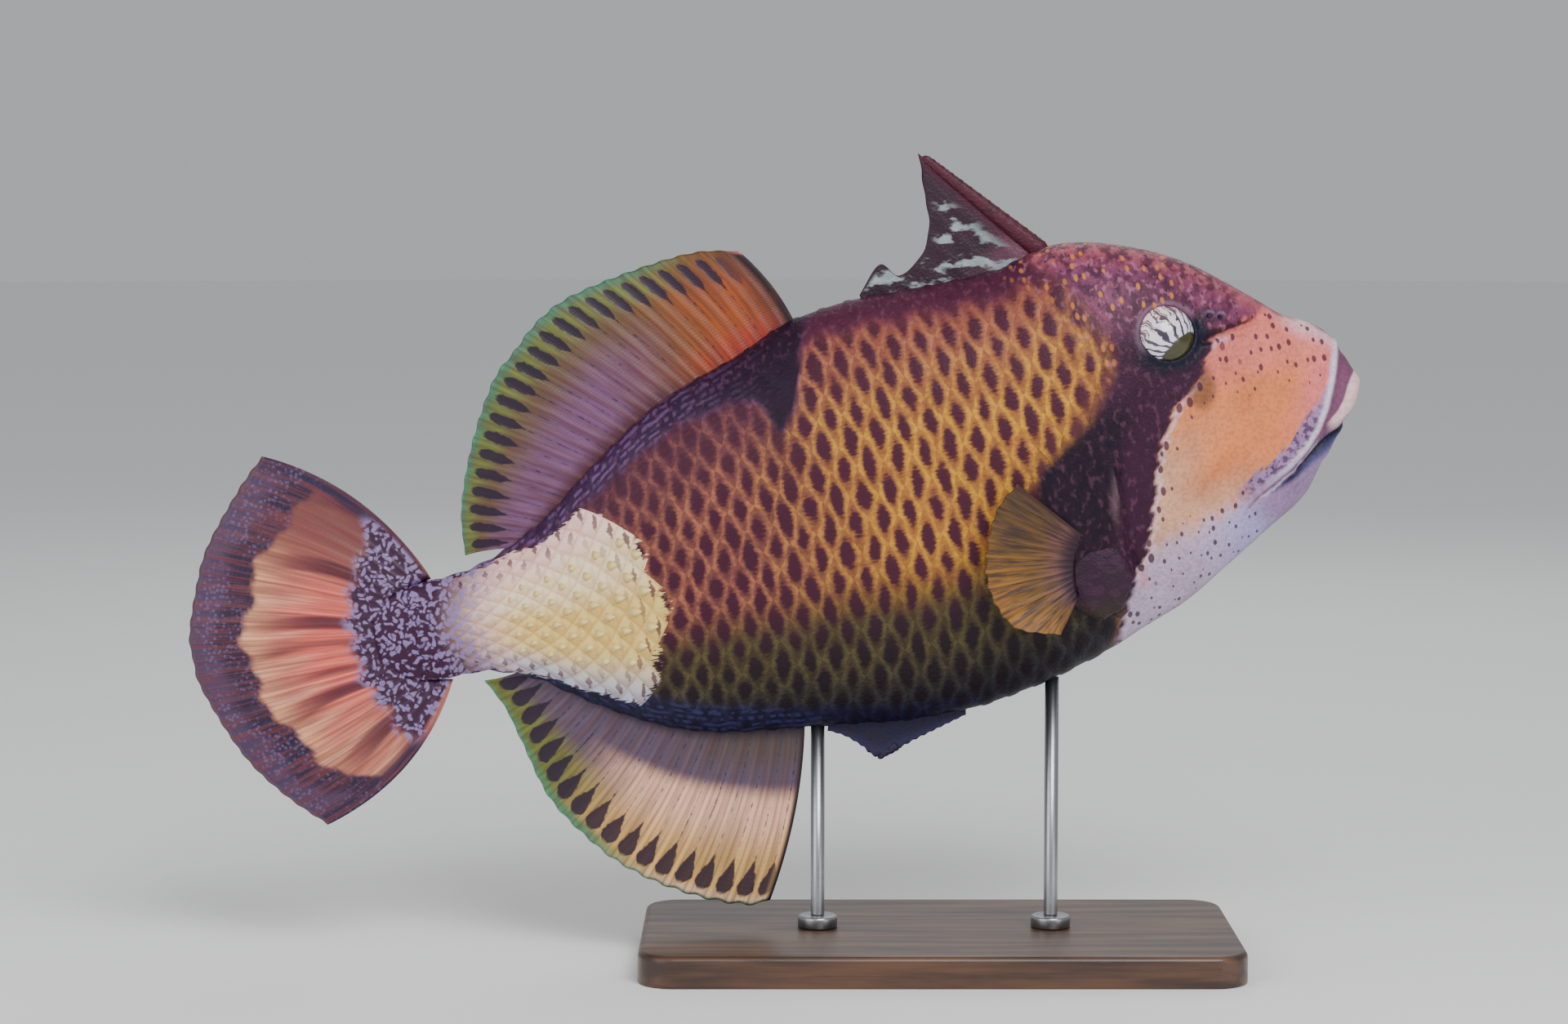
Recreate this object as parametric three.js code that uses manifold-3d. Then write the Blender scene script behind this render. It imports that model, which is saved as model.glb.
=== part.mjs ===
// A titan triggerfish, life size, as a still model on a plain display stand.
// Millimetres, +Z up, +X towards the snout, with the origin under the middle of the stand's base.
//
// The fish is drawn level in a frame of its own: s runs back from the tip of the snout, so x = -s,
// y runs to its left and z up. The finished fish is then turned nose up and set on two rods.

import * as THREE from "three";
import { mergeVertices } from "three/addons/utils/BufferGeometryUtils.js";
import Module from "manifold-3d";

const wasm = await Module();
wasm.setup();

// Fit between neighbouring pieces
const GAP = 0.3;

// Pose on the stand
const NOSE_UP = THREE.MathUtils.degToRad(12);
const SNOUT_X = 209;
const SNOUT_Z = 288;

// The head's blunt tip lies just behind the lip, and its first ring behind that
const TIP_S = 1;
const FIRST_RING_S = 1.6;

// Where the body is divided: at the gill openings and where the spiny tail stalk begins
const GILL_S = 131;
const STALK_S = 358;
const STALK_END_S = 508;

// Scale net: rows on one side from belly to back, half a column's length, and how proud a scale stands
const SCALE_ROWS = 18;
const HALF_SCALE = 6.8;
const SCALE_RISE = 0.7;
const COLUMN_BULGE = 9;

// Height of the back, the belly and the widest level above the snout's tip, as [s, z]
const BACK = [
  [0, 5], [0.7, 11], [2.2, 16], [6.7, 27.5], [12.6, 35], [20.7, 40.5], [30, 45.5], [39, 53.5], [53, 66],
  [75, 83], [97, 94], [121, 101.4], [134, 103], [148, 101], [168, 96.8], [193, 96.6], [235, 97.5],
  [269, 94], [302, 81.5], [324, 74.5], [346, 65.5], [385, 41.5], [415, 20.5], [447, 6.5], [462, 3.8],
  [485, 3], [508, -6],
];
const BELLY = [
  [0, 5], [0.9, -1], [3.5, -6.5], [12, -13.5], [18, -21], [27.5, -34.5], [36, -45], [59, -59], [82, -72.5],
  [106, -86], [129, -94.5], [152, -103.5], [196, -114], [222, -117], [250, -116.5], [284, -112], [306, -109],
  [341, -104], [361, -99], [380, -91], [410, -73], [431, -57.5], [447, -50], [460, -47], [485, -47],
  [508, -38],
];
const WIDEST = [
  [0, 5], [8, 4], [30, 0], [60, -2], [100, 0], [150, -6], [250, -10], [330, -14], [400, -20], [508, -22],
];

// Half the body's width, and how full each section is above and below its widest level (2 is an ellipse)
const HALF_WIDTH = [
  [0, 0], [0.8, 6.5], [3, 11], [8, 15], [15, 18.5], [30, 23.5], [50, 29], [75, 35], [100, 40.5], [131, 45],
  [170, 47], [210, 46], [260, 42], [310, 35], [350, 28], [390, 21.5], [420, 17], [447, 14], [470, 11],
  [490, 7], [508, 2.5],
];
const FULL_ABOVE = [[0, 2.1], [40, 2.3], [90, 2.4], [140, 2.15], [300, 1.9], [508, 2]];
const FULL_BELOW = [[0, 2.1], [60, 2.2], [140, 1.95], [300, 1.85], [400, 2], [508, 2]];

// A smooth curve through points that keeps their rises and falls. It is read in the square root of s, which
// makes the snout round
function through(points) {
  const xs = points.map(([x]) => Math.sqrt(x));
  const ys = points.map(([, y]) => y);
  const steps = xs.slice(1).map((x, i) => (ys[i + 1] - ys[i]) / (x - xs[i]));
  const slopes = ys.map((_, i) => {
    if (i === 0 || i === ys.length - 1) return steps[Math.min(i, steps.length - 1)];
    const [a, b] = [steps[i - 1], steps[i]];
    return a * b <= 0 ? 0 : (2 * a * b) / (a + b);
  });
  return (s) => {
    const x = Math.min(Math.max(Math.sqrt(Math.max(s, 0)), xs[0]), xs[xs.length - 1]);
    const i = Math.min(Math.max(xs.findIndex((v) => v > x) - 1, 0), xs.length - 2);
    const k = x >= xs[xs.length - 1] ? xs.length - 2 : i;
    const h = xs[k + 1] - xs[k];
    const t = (x - xs[k]) / h;
    const rest = 1 - t;
    return (
      ys[k] * rest * rest * (1 + 2 * t) +
      ys[k + 1] * t * t * (3 - 2 * t) +
      slopes[k] * h * t * rest * rest -
      slopes[k + 1] * h * t * t * rest
    );
  };
}

const backAt = through(BACK);
const bellyAt = through(BELLY);
const widestAt = through(WIDEST);
const halfWidthAt = through(HALF_WIDTH);
const fullAboveAt = through(FULL_ABOVE);
const fullBelowAt = through(FULL_BELOW);

const signedPower = (value, power) => Math.sign(value) * Math.abs(value) ** power;

// [y, z] on the section at s. angle runs from -90 degrees at the belly, through 0 at the left flank, to 90 at
// the back, and grow moves the skin out
function sectionPoint(s, angle, grow = 0) {
  const above = angle >= 0;
  const fullness = above ? fullAboveAt(s) : fullBelowAt(s);
  const reach = above ? backAt(s) - widestAt(s) : widestAt(s) - bellyAt(s);
  return [
    (halfWidthAt(s) + grow) * signedPower(Math.cos(angle), 2 / fullness),
    widestAt(s) + (reach + grow) * signedPower(Math.sin(angle), 2 / fullness),
  ];
}

// The angles that cut the girth from belly to back into equal lengths, measured in fine steps
const GIRTH_STEPS = 160;

function evenAngles(s, parts) {
  const lengths = [0];
  let last = sectionPoint(s, -Math.PI / 2);
  for (let i = 1; i <= GIRTH_STEPS; i++) {
    const next = sectionPoint(s, -Math.PI / 2 + (Math.PI * i) / GIRTH_STEPS);
    lengths.push(lengths[i - 1] + Math.hypot(next[0] - last[0], next[1] - last[1]));
    last = next;
  }
  const between = Array.from({ length: parts - 1 }, (_, j) => {
    const wanted = (lengths[GIRTH_STEPS] * (j + 1)) / parts;
    const i = lengths.findIndex((v) => v >= wanted);
    const share = (wanted - lengths[i - 1]) / (lengths[i] - lengths[i - 1]);
    return -Math.PI / 2 + (Math.PI * (i - 1 + share)) / GIRTH_STEPS;
  });
  return [-Math.PI / 2, ...between, Math.PI / 2];
}

// Half the width of the body at s and height z
function flankAt(s, z) {
  const above = z >= widestAt(s);
  const fullness = above ? fullAboveAt(s) : fullBelowAt(s);
  const reach = above ? backAt(s) - widestAt(s) : widestAt(s) - bellyAt(s);
  const share = Math.min(Math.abs(z - widestAt(s)) / reach, 1);
  return halfWidthAt(s) * (1 - share ** fullness) ** (1 / fullness);
}

// Collects points and faces of one closed surface
class Surface {
  constructor() {
    this.points = [];
    this.faces = [];
  }

  point(x, y, z) {
    this.points.push(x, y, z);
    return this.points.length / 3 - 1;
  }

  quad(a, b, c, d) {
    this.faces.push(a, b, c, a, c, d);
  }

  fan(ring, centre, flip) {
    ring.forEach((a, i) => {
      const b = ring[(i + 1) % ring.length];
      this.faces.push(centre, ...(flip ? [b, a] : [a, b]));
    });
  }

  geometry() {
    return new THREE.BufferGeometry()
      .setAttribute("position", new THREE.Float32BufferAttribute(this.points, 3))
      .setIndex(this.faces);
  }
}

// A geometry as a solid for joining and cutting, and a solid as a geometry
function solidOf(geometry) {
  const plain = geometry.clone();
  ["normal", "uv"].forEach((name) => plain.deleteAttribute(name));
  const merged = mergeVertices(plain, 1e-4);
  return new wasm.Manifold(
    new wasm.Mesh({
      numProp: 3,
      vertProperties: merged.attributes.position.array,
      triVerts: new Uint32Array(merged.index.array),
    }),
  );
}

function geometryOf(solid) {
  const { vertProperties, triVerts } = solid.getMesh();
  const geometry = new THREE.BufferGeometry()
    .setAttribute("position", new THREE.Float32BufferAttribute(vertProperties, 3))
    .setIndex([...triVerts]);
  geometry.computeVertexNormals();
  return geometry;
}

// The biggest closed surface of a solid, with any hollow or loose scrap dropped
function mainBody(solid) {
  const parts = solid.decompose();
  return parts.reduce((a, b) => (b.volume() > a.volume() ? b : a));
}

// A length of the body between two sections. Scales stand up as low four-sided plates where rise is not 0
function bodyLength(stations, { sides, grow = 0, rise = 0, roundFront = false }) {
  const surface = new Surface();
  const [first, last] = [stations[0], stations[stations.length - 1]];
  const rings = stations.map((s, i) => {
    const angles = evenAngles(s, sides);
    const fade = Math.sin((Math.PI * (s - first)) / (last - first));
    const bulge = rise ? COLUMN_BULGE * fade : 0;
    const place = (j, side) => {
      const t = (2 * j) / sides - 1;
      const lift = grow + ((i + j) % 2 === 0 && i > 0 && i < stations.length - 1 ? rise : 0);
      const [y, z] = sectionPoint(s + bulge * t * t, angles[j], lift);
      return surface.point(-(s + bulge * t * t), side * y, z);
    };
    const left = angles.map((_, j) => place(j, 1));
    const right = angles.slice(1, -1).map((_, j) => place(j + 1, -1));
    return [...left, ...right.reverse()];
  });
  for (let i = 0; i + 1 < rings.length; i++) {
    const [a, b] = [rings[i], rings[i + 1]];
    a.forEach((_, j) => {
      const k = (j + 1) % a.length;
      const corners = [a[j], b[j], b[k], a[k]];
      const level = j <= sides ? j : 2 * sides - j;
      if ((i + level) % 2 === 0) surface.quad(corners[1], corners[2], corners[3], corners[0]);
      else surface.quad(...corners);
    });
  }
  const frontS = roundFront ? TIP_S : first;
  surface.fan(rings[0], surface.point(-frontS, 0, widestAt(frontS)), false);
  surface.fan(rings[rings.length - 1], surface.point(-last, 0, widestAt(last)), true);
  return solidOf(surface.geometry());
}

function stationsBetween(from, to, count, power = 1) {
  return Array.from({ length: count + 1 }, (_, i) => from + (to - from) * (i / count) ** power);
}

const HEAD_RINGS = 18;
const HEAD_SIDES = 14;
const HEAD_CROWDING = 1.5;
const headStations = stationsBetween(FIRST_RING_S, GILL_S - GAP / 2, HEAD_RINGS, HEAD_CROWDING);
const trunkRings = 2 * Math.round((STALK_S - GILL_S) / HALF_SCALE / 2);
const trunkStations = stationsBetween(GILL_S + GAP / 2, STALK_S - GAP / 2, trunkRings);
const stalkRings = 2 * Math.round((STALK_END_S - STALK_S) / HALF_SCALE / 2);
const stalkStations = stationsBetween(STALK_S + GAP / 2, STALK_END_S, stalkRings);

const headForm = { sides: HEAD_SIDES, roundFront: true };
const scaledForm = { sides: SCALE_ROWS, rise: SCALE_RISE };

// The whole body a gap larger all round, to cut what grows from it
const bodyRoom = [
  bodyLength(headStations, { ...headForm, grow: GAP }),
  bodyLength([GILL_S - 1, ...trunkStations, STALK_S + 1], { ...scaledForm, grow: GAP, rise: 0 }),
  bodyLength(trunkStations, { ...scaledForm, grow: GAP }),
  bodyLength(stalkStations, { ...scaledForm, grow: GAP }),
].reduce((a, b) => a.add(b));

// A solid swept along a line of marks on the skin, each with its place and the outward direction there.
// high is its half size away from the skin and wide its half size along the skin, and both taper to the ends
function sweptSolid(marks, { high, wide, sides = 6, steps = 12 }) {
  const surface = new Surface();
  const places = new THREE.CatmullRomCurve3(marks.map((mark) => mark.place));
  const normals = new THREE.CatmullRomCurve3(marks.map((mark) => mark.normal));
  const rings = Array.from({ length: steps - 1 }, (_, i) => {
    const u = (i + 1) / steps;
    const centre = places.getPoint(u);
    const ahead = places.getTangent(u);
    const across = new THREE.Vector3().crossVectors(ahead, normals.getPoint(u)).normalize();
    const out = new THREE.Vector3().crossVectors(across, ahead);
    const taper = Math.sin(Math.PI * u) ** 0.5;
    return Array.from({ length: sides }, (_, j) => {
      const angle = (2 * Math.PI * j) / sides;
      const point = centre
        .clone()
        .addScaledVector(out, high * taper * Math.cos(angle))
        .addScaledVector(across, wide * taper * Math.sin(angle));
      return surface.point(...point);
    });
  });
  for (let i = 0; i + 1 < rings.length; i++) {
    const [a, b] = [rings[i], rings[i + 1]];
    a.forEach((_, j) => surface.quad(a[j], a[(j + 1) % sides], b[(j + 1) % sides], b[j]));
  }
  surface.fan(rings[0], surface.point(...places.getPoint(0)), true);
  surface.fan(rings[rings.length - 1], surface.point(...places.getPoint(1)), false);
  return outward(surface);
}

// A surface as a solid, turned the right way round if its faces point in
function outward(surface) {
  const solid = solidOf(surface.geometry());
  if (solid.volume() > 0) return solid;
  for (let i = 0; i < surface.faces.length; i += 3) {
    [surface.faces[i], surface.faces[i + 1]] = [surface.faces[i + 1], surface.faces[i]];
  }
  return solidOf(surface.geometry());
}

// The skin's outward direction at s and z, from its slopes over a short step. side is 1 or -1: left or right
const NORMAL_STEP = 1.5;

function skinNormal(s, z, side) {
  const slopeBack = (flankAt(s + NORMAL_STEP, z) - flankAt(s - NORMAL_STEP, z)) / (2 * NORMAL_STEP);
  const slopeUp = (flankAt(s, z + NORMAL_STEP) - flankAt(s, z - NORMAL_STEP)) / (2 * NORMAL_STEP);
  return new THREE.Vector3(slopeBack, side, -slopeUp).normalize();
}

// A point on the flank, lifted straight off it by some height
function onFlank(s, z, side, lift = 0) {
  const foot = new THREE.Vector3(-s, side * flankAt(s, z), z);
  return foot.addScaledVector(skinNormal(s, z, side), lift);
}

// The eyes: balls set in the head, with a fold of skin round each
const EYE = { s: 90.5, z: 50, radius: 16.8, proud: 6.5, rimRadius: 15, rimThickness: 2.6, rimSunk: 0.6 };

function eyeCentre(side) {
  return onFlank(EYE.s, EYE.z, side, EYE.proud - EYE.radius);
}

function eyeBall(side, grow = 0) {
  const ball = new THREE.SphereGeometry(EYE.radius + grow, 14, 10);
  return solidOf(ball.translate(...eyeCentre(side)));
}

function eyeRim(side) {
  const { rimRadius, rimThickness, rimSunk } = EYE;
  const facing = skinNormal(EYE.s, EYE.z, side);
  const turn = new THREE.Quaternion().setFromUnitVectors(new THREE.Vector3(0, 0, 1), facing);
  const ring = new THREE.TorusGeometry(rimRadius, rimThickness, 6, 18).applyQuaternion(turn);
  return solidOf(ring.translate(...onFlank(EYE.s, EYE.z, side, -rimSunk)));
}

// The mouth: a slit under a full upper lip that stands out past the lower one, with a furrow that carries it
// on down each cheek. Each line goes from the middle of the front, through [s, z] points, to a corner
const UPPER_LIP = {
  line: [[1.2, 6], [3.5, 3], [7, -3.5], [11.5, -9], [17, -13.5], [23, -16.5]],
  high: 4,
  wide: 6.5,
  sunk: 2.4,
};
const LOWER_LIP = {
  line: [[12.5, -14], [15, -15.5], [20, -20.5], [28, -27.5], [37, -34]],
  high: 4,
  wide: 4.5,
  sunk: 1.8,
};
const MOUTH_SLIT = {
  line: [[7, -9], [10, -10], [15.5, -14.5], [22, -19], [31, -25], [42, -32]],
  high: 5,
  wide: 0.8,
  sunk: 0,
};

// Marks on the skin round the front of the head, from the left corner to the right one
function roundFront({ line, sunk }) {
  const marksOn = (side) =>
    line.slice(1).map(([s, z]) => ({ place: onFlank(s, z, side, -sunk), normal: skinNormal(s, z, side) }));
  const [frontS, frontZ] = line[0];
  const front = { place: new THREE.Vector3(-frontS - sunk, 0, frontZ), normal: new THREE.Vector3(1, 0, 0) };
  return [...marksOn(1).reverse(), front, ...marksOn(-1)];
}

// The nostrils: two small raised rims in front of each eye, with a pit in each
const NOSTRILS = [[62.5, 52], [68, 54]];
const NOSTRIL = { rim: 3, pit: 1.9, sunk: 0.9 };

// The groove from below the nostrils back to the eye, and the gill opening in the head's rear edge
const EYE_GROOVE = { line: [[44, 47], [54, 46], [63, 44.5], [74, 42.5]], high: 3.2, wide: 2.2 };
const GILL_SLIT = {
  line: [[126.5, -2], [129.5, -18], [130.6, -36], [129.8, -52], [127, -66]],
  high: 4,
  wide: 1.8,
};

function grooveSolid({ line, high, wide }, side) {
  const marks = line.map(([s, z]) => ({ place: onFlank(s, z, side), normal: skinNormal(s, z, side) }));
  return sweptSolid(marks, { high, wide, sides: 6, steps: 8 });
}

// A block behind the gill openings that trims what the head's details leave there
const CUT = { length: 40, width: 200, height: 400 };

function headSolid() {
  let head = bodyLength(headStations, headForm);
  for (const lip of [UPPER_LIP, LOWER_LIP]) {
    head = head.add(sweptSolid(roundFront(lip), { ...lip, sides: 8, steps: 18 }));
  }
  head = head.subtract(sweptSolid(roundFront(MOUTH_SLIT), { ...MOUTH_SLIT, sides: 4, steps: 18 }));
  for (const side of [1, -1]) {
    head = head.add(eyeRim(side));
    for (const [s, z] of NOSTRILS) {
      const rim = new THREE.SphereGeometry(NOSTRIL.rim, 8, 6);
      const pit = new THREE.SphereGeometry(NOSTRIL.pit, 6, 5);
      head = head.add(solidOf(rim.translate(...onFlank(s, z, side, -NOSTRIL.sunk))));
      head = head.subtract(solidOf(pit.translate(...onFlank(s, z, side, NOSTRIL.pit / 2))));
    }
    head = head.subtract(grooveSolid(EYE_GROOVE, side)).subtract(grooveSolid(GILL_SLIT, side));
    head = head.subtract(eyeBall(side, GAP));
  }
  const cut = new THREE.BoxGeometry(CUT.length, CUT.width, CUT.height);
  return mainBody(head.subtract(solidOf(cut.translate(GAP / 2 - GILL_S - CUT.length / 2, 0, 0))));
}

// Rows of short spines along each side of the tail stalk, each leaning forward on its scale
const KEEL = {
  rows: 4,
  perRow: 7,
  firstS: 366,
  lastS: 474,
  low: 0.32,
  high: 0.64,
  radius: 3.4,
  height: 3.6,
  lift: 1,
  lean: 0.7,
  shrink: 0.35,
};

function stalkSolid() {
  let stalk = bodyLength(stalkStations, scaledForm);
  for (const side of [1, -1]) {
    for (let row = 0; row < KEEL.rows; row++) {
      const girth = KEEL.low + ((KEEL.high - KEEL.low) * row) / (KEEL.rows - 1);
      for (let i = 0; i < KEEL.perRow; i++) {
        const share = (i + (row % 2) / 2) / KEEL.perRow;
        const s = KEEL.firstS + (KEEL.lastS - KEEL.firstS) * share;
        const shrink = 1 - KEEL.shrink * share;
        const z = bellyAt(s) + (backAt(s) - bellyAt(s)) * girth;
        const lean = skinNormal(s, z, side).add(new THREE.Vector3(KEEL.lean, 0, 0)).normalize();
        const turn = new THREE.Quaternion().setFromUnitVectors(new THREE.Vector3(0, 1, 0), lean);
        const spine = new THREE.ConeGeometry(KEEL.radius * shrink, 2 * KEEL.height * shrink, 4);
        stalk = stalk.add(solidOf(spine.applyQuaternion(turn).translate(...onFlank(s, z, side, KEEL.lift))));
      }
    }
  }
  return mainBody(stalk);
}

// How soon the thicker root of a fin thins out: over a quarter of the rays' length
const ROOT_FLARE = 4;

// A fin: rays that run from a base line to a margin, with thin skin between them.
// base, knee and tip give [s, z] for u from 0, the first ray, to 1, the last; camber gives y
function finSolid({ rays, rows, base, knee, tip, camber, root, crest, skin, edge, notch = 0 }) {
  const surface = new Surface();
  const columns = 2 * rays - 1;
  const along = (a, b, c, r) => a * (1 - r) ** 2 + 2 * b * r * (1 - r) + c * r * r;
  const grids = [1, -1].map((face) =>
    Array.from({ length: columns }, (_, c) => {
      const u = c / (columns - 1);
      const isRay = c % 2 === 0;
      const [from, bend, to] = [base(u), knee(u), tip(u)];
      return Array.from({ length: rows + 1 }, (_, i) => {
        const r = (i / rows) * (isRay ? 1 : 1 - notch);
        const s = along(from[0], bend[0], to[0], r);
        const z = along(from[1], bend[1], to[1], r);
        const flare = (root - crest) * Math.max(0, 1 - ROOT_FLARE * r);
        const thick = (isRay ? crest : skin) * (1 - r) + edge * r + flare;
        return surface.point(-s, camber(u, r) + (face * thick) / 2, z);
      });
    }),
  );
  const [left, right] = grids;
  for (let c = 0; c + 1 < columns; c++) {
    for (let i = 0; i < rows; i++) {
      surface.quad(left[c][i], left[c + 1][i], left[c + 1][i + 1], left[c][i + 1]);
      surface.faces.push(right[c][i], right[c + 1][i + 1], right[c + 1][i]);
      surface.faces.push(right[c][i], right[c][i + 1], right[c + 1][i + 1]);
    }
    surface.quad(left[c + 1][0], left[c][0], right[c][0], right[c + 1][0]);
    surface.quad(left[c][rows], left[c + 1][rows], right[c + 1][rows], right[c][rows]);
  }
  for (let i = 0; i < rows; i++) {
    surface.quad(left[0][i], left[0][i + 1], right[0][i + 1], right[0][i]);
    const end = columns - 1;
    surface.quad(left[end][i + 1], left[end][i], right[end][i], right[end][i + 1]);
  }
  return outward(surface);
}

// A curve through [s, z] points, read at u from 0 to 1 by its length
function outline(points) {
  const curve = new THREE.SplineCurve(points.map(([s, z]) => new THREE.Vector2(s, z)));
  return (u) => curve.getPointAt(Math.min(Math.max(u, 0), 1)).toArray();
}

// The point halfway from base to tip, moved by a swing in s and a lift in z
function kneeBetween(base, tip, swing, lift) {
  return (u) => {
    const [a, b] = [base(u), tip(u)];
    return [(a[0] + b[0]) / 2 + swing(u), (a[1] + b[1]) / 2 + lift(u)];
  };
}

const straight = () => 0;

// How far inside the body the fins of the back and belly start, before the body is cut out of them
const SUNK = 4;

// Thickness of a soft fin at its root, over a ray, between rays and at the margin, where rays stand proud
const SOFT_SKIN = { root: 4, crest: 1.9, skin: 0.9, edge: 0.7, notch: 0.015 };

// Soft back fin
const BACK_FIN = {
  rays: 25,
  rows: 3,
  from: 268,
  to: 427,
  margin: [
    [288.5, 132.5], [310, 136.6], [340, 134.6], [375, 128.4], [394, 119.7], [409, 107], [422, 95],
    [438.5, 67.2], [451, 36.3], [454.5, 12],
  ],
  swing: [-5, 4],
  lift: 2,
  wave: 7,
  phase: 0.1,
};

// Anal fin
const ANAL_FIN = {
  rays: 23,
  rows: 3,
  from: 305,
  to: 437,
  margin: [
    [341, -190.5], [350, -191.4], [366.5, -186.2], [385.5, -176.7], [404, -164.4], [421, -148],
    [440, -119], [448, -86], [452, -68], [459, -52],
  ],
  swing: [-8, -2],
  lift: -2,
  wave: -6,
  phase: 0.15,
};

// A line of roots from front to rear, just inside the back or the belly
function rootLine({ from, to }, rootZ) {
  return (u) => {
    const s = from + (to - from) * u;
    return [s, rootZ(s)];
  };
}

const insideBack = (s) => backAt(s) - SUNK;
const insideBelly = (s) => bellyAt(s) + SUNK;

// A soft fin sways to one side more and more towards its margin, in a slow wave from front to back, and its
// rays swing forward at the front and less so, or back, at the rear
const WAVES = 0.85;

function softFinSolid(fin, rootZ) {
  const base = rootLine(fin, rootZ);
  const tip = outline(fin.margin);
  const [first, last] = fin.swing;
  const knee = kneeBetween(base, tip, (u) => first + (last - first) * u, () => fin.lift);
  const camber = (u, r) => fin.wave * Math.sin(2 * Math.PI * (WAVES * u + fin.phase)) * r * r;
  return mainBody(finSolid({ ...fin, ...SOFT_SKIN, base, knee, tip, camber }).subtract(bodyRoom));
}

// Tail fin. Its outer rays bow out, away from the middle, and the whole bends to the left with shallow pleats
const TAIL_FIN = {
  rays: 25,
  rows: 4,
  root: [[474, 4], [496, -3], [501, -22], [496, -41], [474, -48]],
  margin: [
    [545, 81.5], [560, 68], [582, 43], [592, 24.4], [601, 1], [602, -12], [601, -28], [588, -64.5],
    [572, -89], [553.5, -108.7],
  ],
  swing: -14.5,
  lift: -15.5,
  bend: 9,
  pleat: 0.9,
  pleats: 4,
};
const TAIL_SKIN = { root: 4.6, crest: 2.2, skin: 1.1, edge: 0.8, notch: 0.01 };

function tailFinSolid() {
  const { swing, lift, bend, pleat, pleats } = TAIL_FIN;
  const base = outline(TAIL_FIN.root);
  const tip = outline(TAIL_FIN.margin);
  const fromMiddle = (u) => 2 * u - 1;
  const knee = kneeBetween(base, tip, (u) => swing * fromMiddle(u) ** 2, (u) => lift * fromMiddle(u) ** 3);
  const camber = (u, r) => bend * r * r + pleat * Math.sin(2 * Math.PI * pleats * u) * Math.sin(Math.PI * r);
  return mainBody(finSolid({ ...TAIL_FIN, ...TAIL_SKIN, base, knee, tip, camber }).subtract(bodyRoom));
}

// Spiny back fin: a stout locking spine, a second and a third shorter one, and the skin behind them
const SPINY_FIN = {
  rays: 8,
  rows: 4,
  from: 136,
  to: 233,
  margin: [[191, 161.5], [192.2, 140], [192.8, 126.5], [199, 112.5], [212.5, 104], [221, 111.5], [234, 98.5]],
};
const SPINY_SKIN = { root: 3, crest: 2.2, skin: 1.6, edge: 1 };
const SPINE_FLATNESS = 0.8;
const LOCKING_SPINE = { from: [139, 99], to: [189, 159.5], rootRadius: 5, tipRadius: 2 };

function spineSolid({ from, to, rootRadius, tipRadius }) {
  const [a, b] = [from, to].map(([s, z]) => new THREE.Vector3(-s, 0, z));
  const length = a.distanceTo(b);
  const cone = new THREE.CylinderGeometry(tipRadius, rootRadius, length, 8, 3);
  cone.scale(1, 1, SPINE_FLATNESS);
  cone.rotateZ(-Math.atan2(b.x - a.x, b.z - a.z)).rotateX(Math.PI / 2);
  return solidOf(cone.translate(...a.add(b).multiplyScalar(0.5)));
}

function spinyFinSolid() {
  const base = rootLine(SPINY_FIN, insideBack);
  const tip = outline(SPINY_FIN.margin);
  const knee = kneeBetween(base, tip, straight, straight);
  const skin = finSolid({ ...SPINY_FIN, ...SPINY_SKIN, base, knee, tip, camber: straight });
  return mainBody(skin.add(spineSolid(LOCKING_SPINE)).subtract(bodyRoom));
}

// Breast fins: a fleshy lobe on the flank, and rays that fan back and stand a little off the body
const BREAST_FIN = {
  rays: 14,
  rows: 3,
  root: [[150, -40], [156, -47], [159, -57], [160, -68]],
  margin: [[179, -5], [190, -14], [198, -28], [203, -46], [201, -62], [193, -75], [173, -82]],
  lobe: { s: 147, z: -57, length: 15, height: 19, thickness: 6, sunk: 0.5 },
  proud: 2.5,
  flare: 17,
  curl: 0.9,
};
const BREAST_SKIN = { root: 3.2, crest: 1.7, skin: 0.9, edge: 0.7, notch: 0.02 };

function breastFinSolid(side) {
  const { lobe, proud, flare, curl } = BREAST_FIN;
  const seat = flankAt(lobe.s, lobe.z);
  const base = outline(BREAST_FIN.root);
  const tip = outline(BREAST_FIN.margin);
  const knee = kneeBetween(base, tip, straight, straight);
  const camber = (u, r) => side * (seat + proud + flare * r ** curl);
  const fan = finSolid({ ...BREAST_FIN, ...BREAST_SKIN, base, knee, tip, camber });
  const pad = new THREE.SphereGeometry(1, 14, 10).scale(lobe.length, lobe.thickness, lobe.height);
  const flesh = solidOf(pad.translate(-lobe.s, side * (seat - lobe.sunk), lobe.z));
  return mainBody(flesh.add(fan).subtract(bodyRoom));
}

// Belly flap: a thin keel in front of the vent that ends in a rough spine
const FLAP = {
  rays: 9,
  rows: 4,
  from: 224,
  to: 293,
  margin: [[225, -119.5], [250, -126], [272, -131.6], [280, -124], [287, -117.5], [295, -113]],
};
const FLAP_SKIN = { root: 5, crest: 4.4, skin: 3.6, edge: 1.6, notch: 0.04 };
const PELVIC_SPINE = { from: [262, -130.2], to: [275.5, -134.2], rootRadius: 2.6, tipRadius: 1.1 };

function flapSolid() {
  const base = rootLine(FLAP, insideBelly);
  const tip = outline(FLAP.margin);
  const knee = kneeBetween(base, tip, straight, straight);
  const keel = finSolid({ ...FLAP, ...FLAP_SKIN, base, knee, tip, camber: straight });
  const { rootRadius, tipRadius } = PELVIC_SPINE;
  const spineRoom = spineSolid({ ...PELVIC_SPINE, rootRadius: rootRadius + GAP, tipRadius: tipRadius + GAP });
  return mainBody(keel.subtract(bodyRoom).subtract(spineRoom));
}

// Stand: a bevelled slab, and two rods that rise from low collars to the belly
const BASE = { length: 300, width: 150, height: 16, corner: 18, bevel: 2 };
const ROD = { radius: 3.5, x: [-61, 57] };
const COLLAR = { radius: 10, height: 6 };

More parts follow.
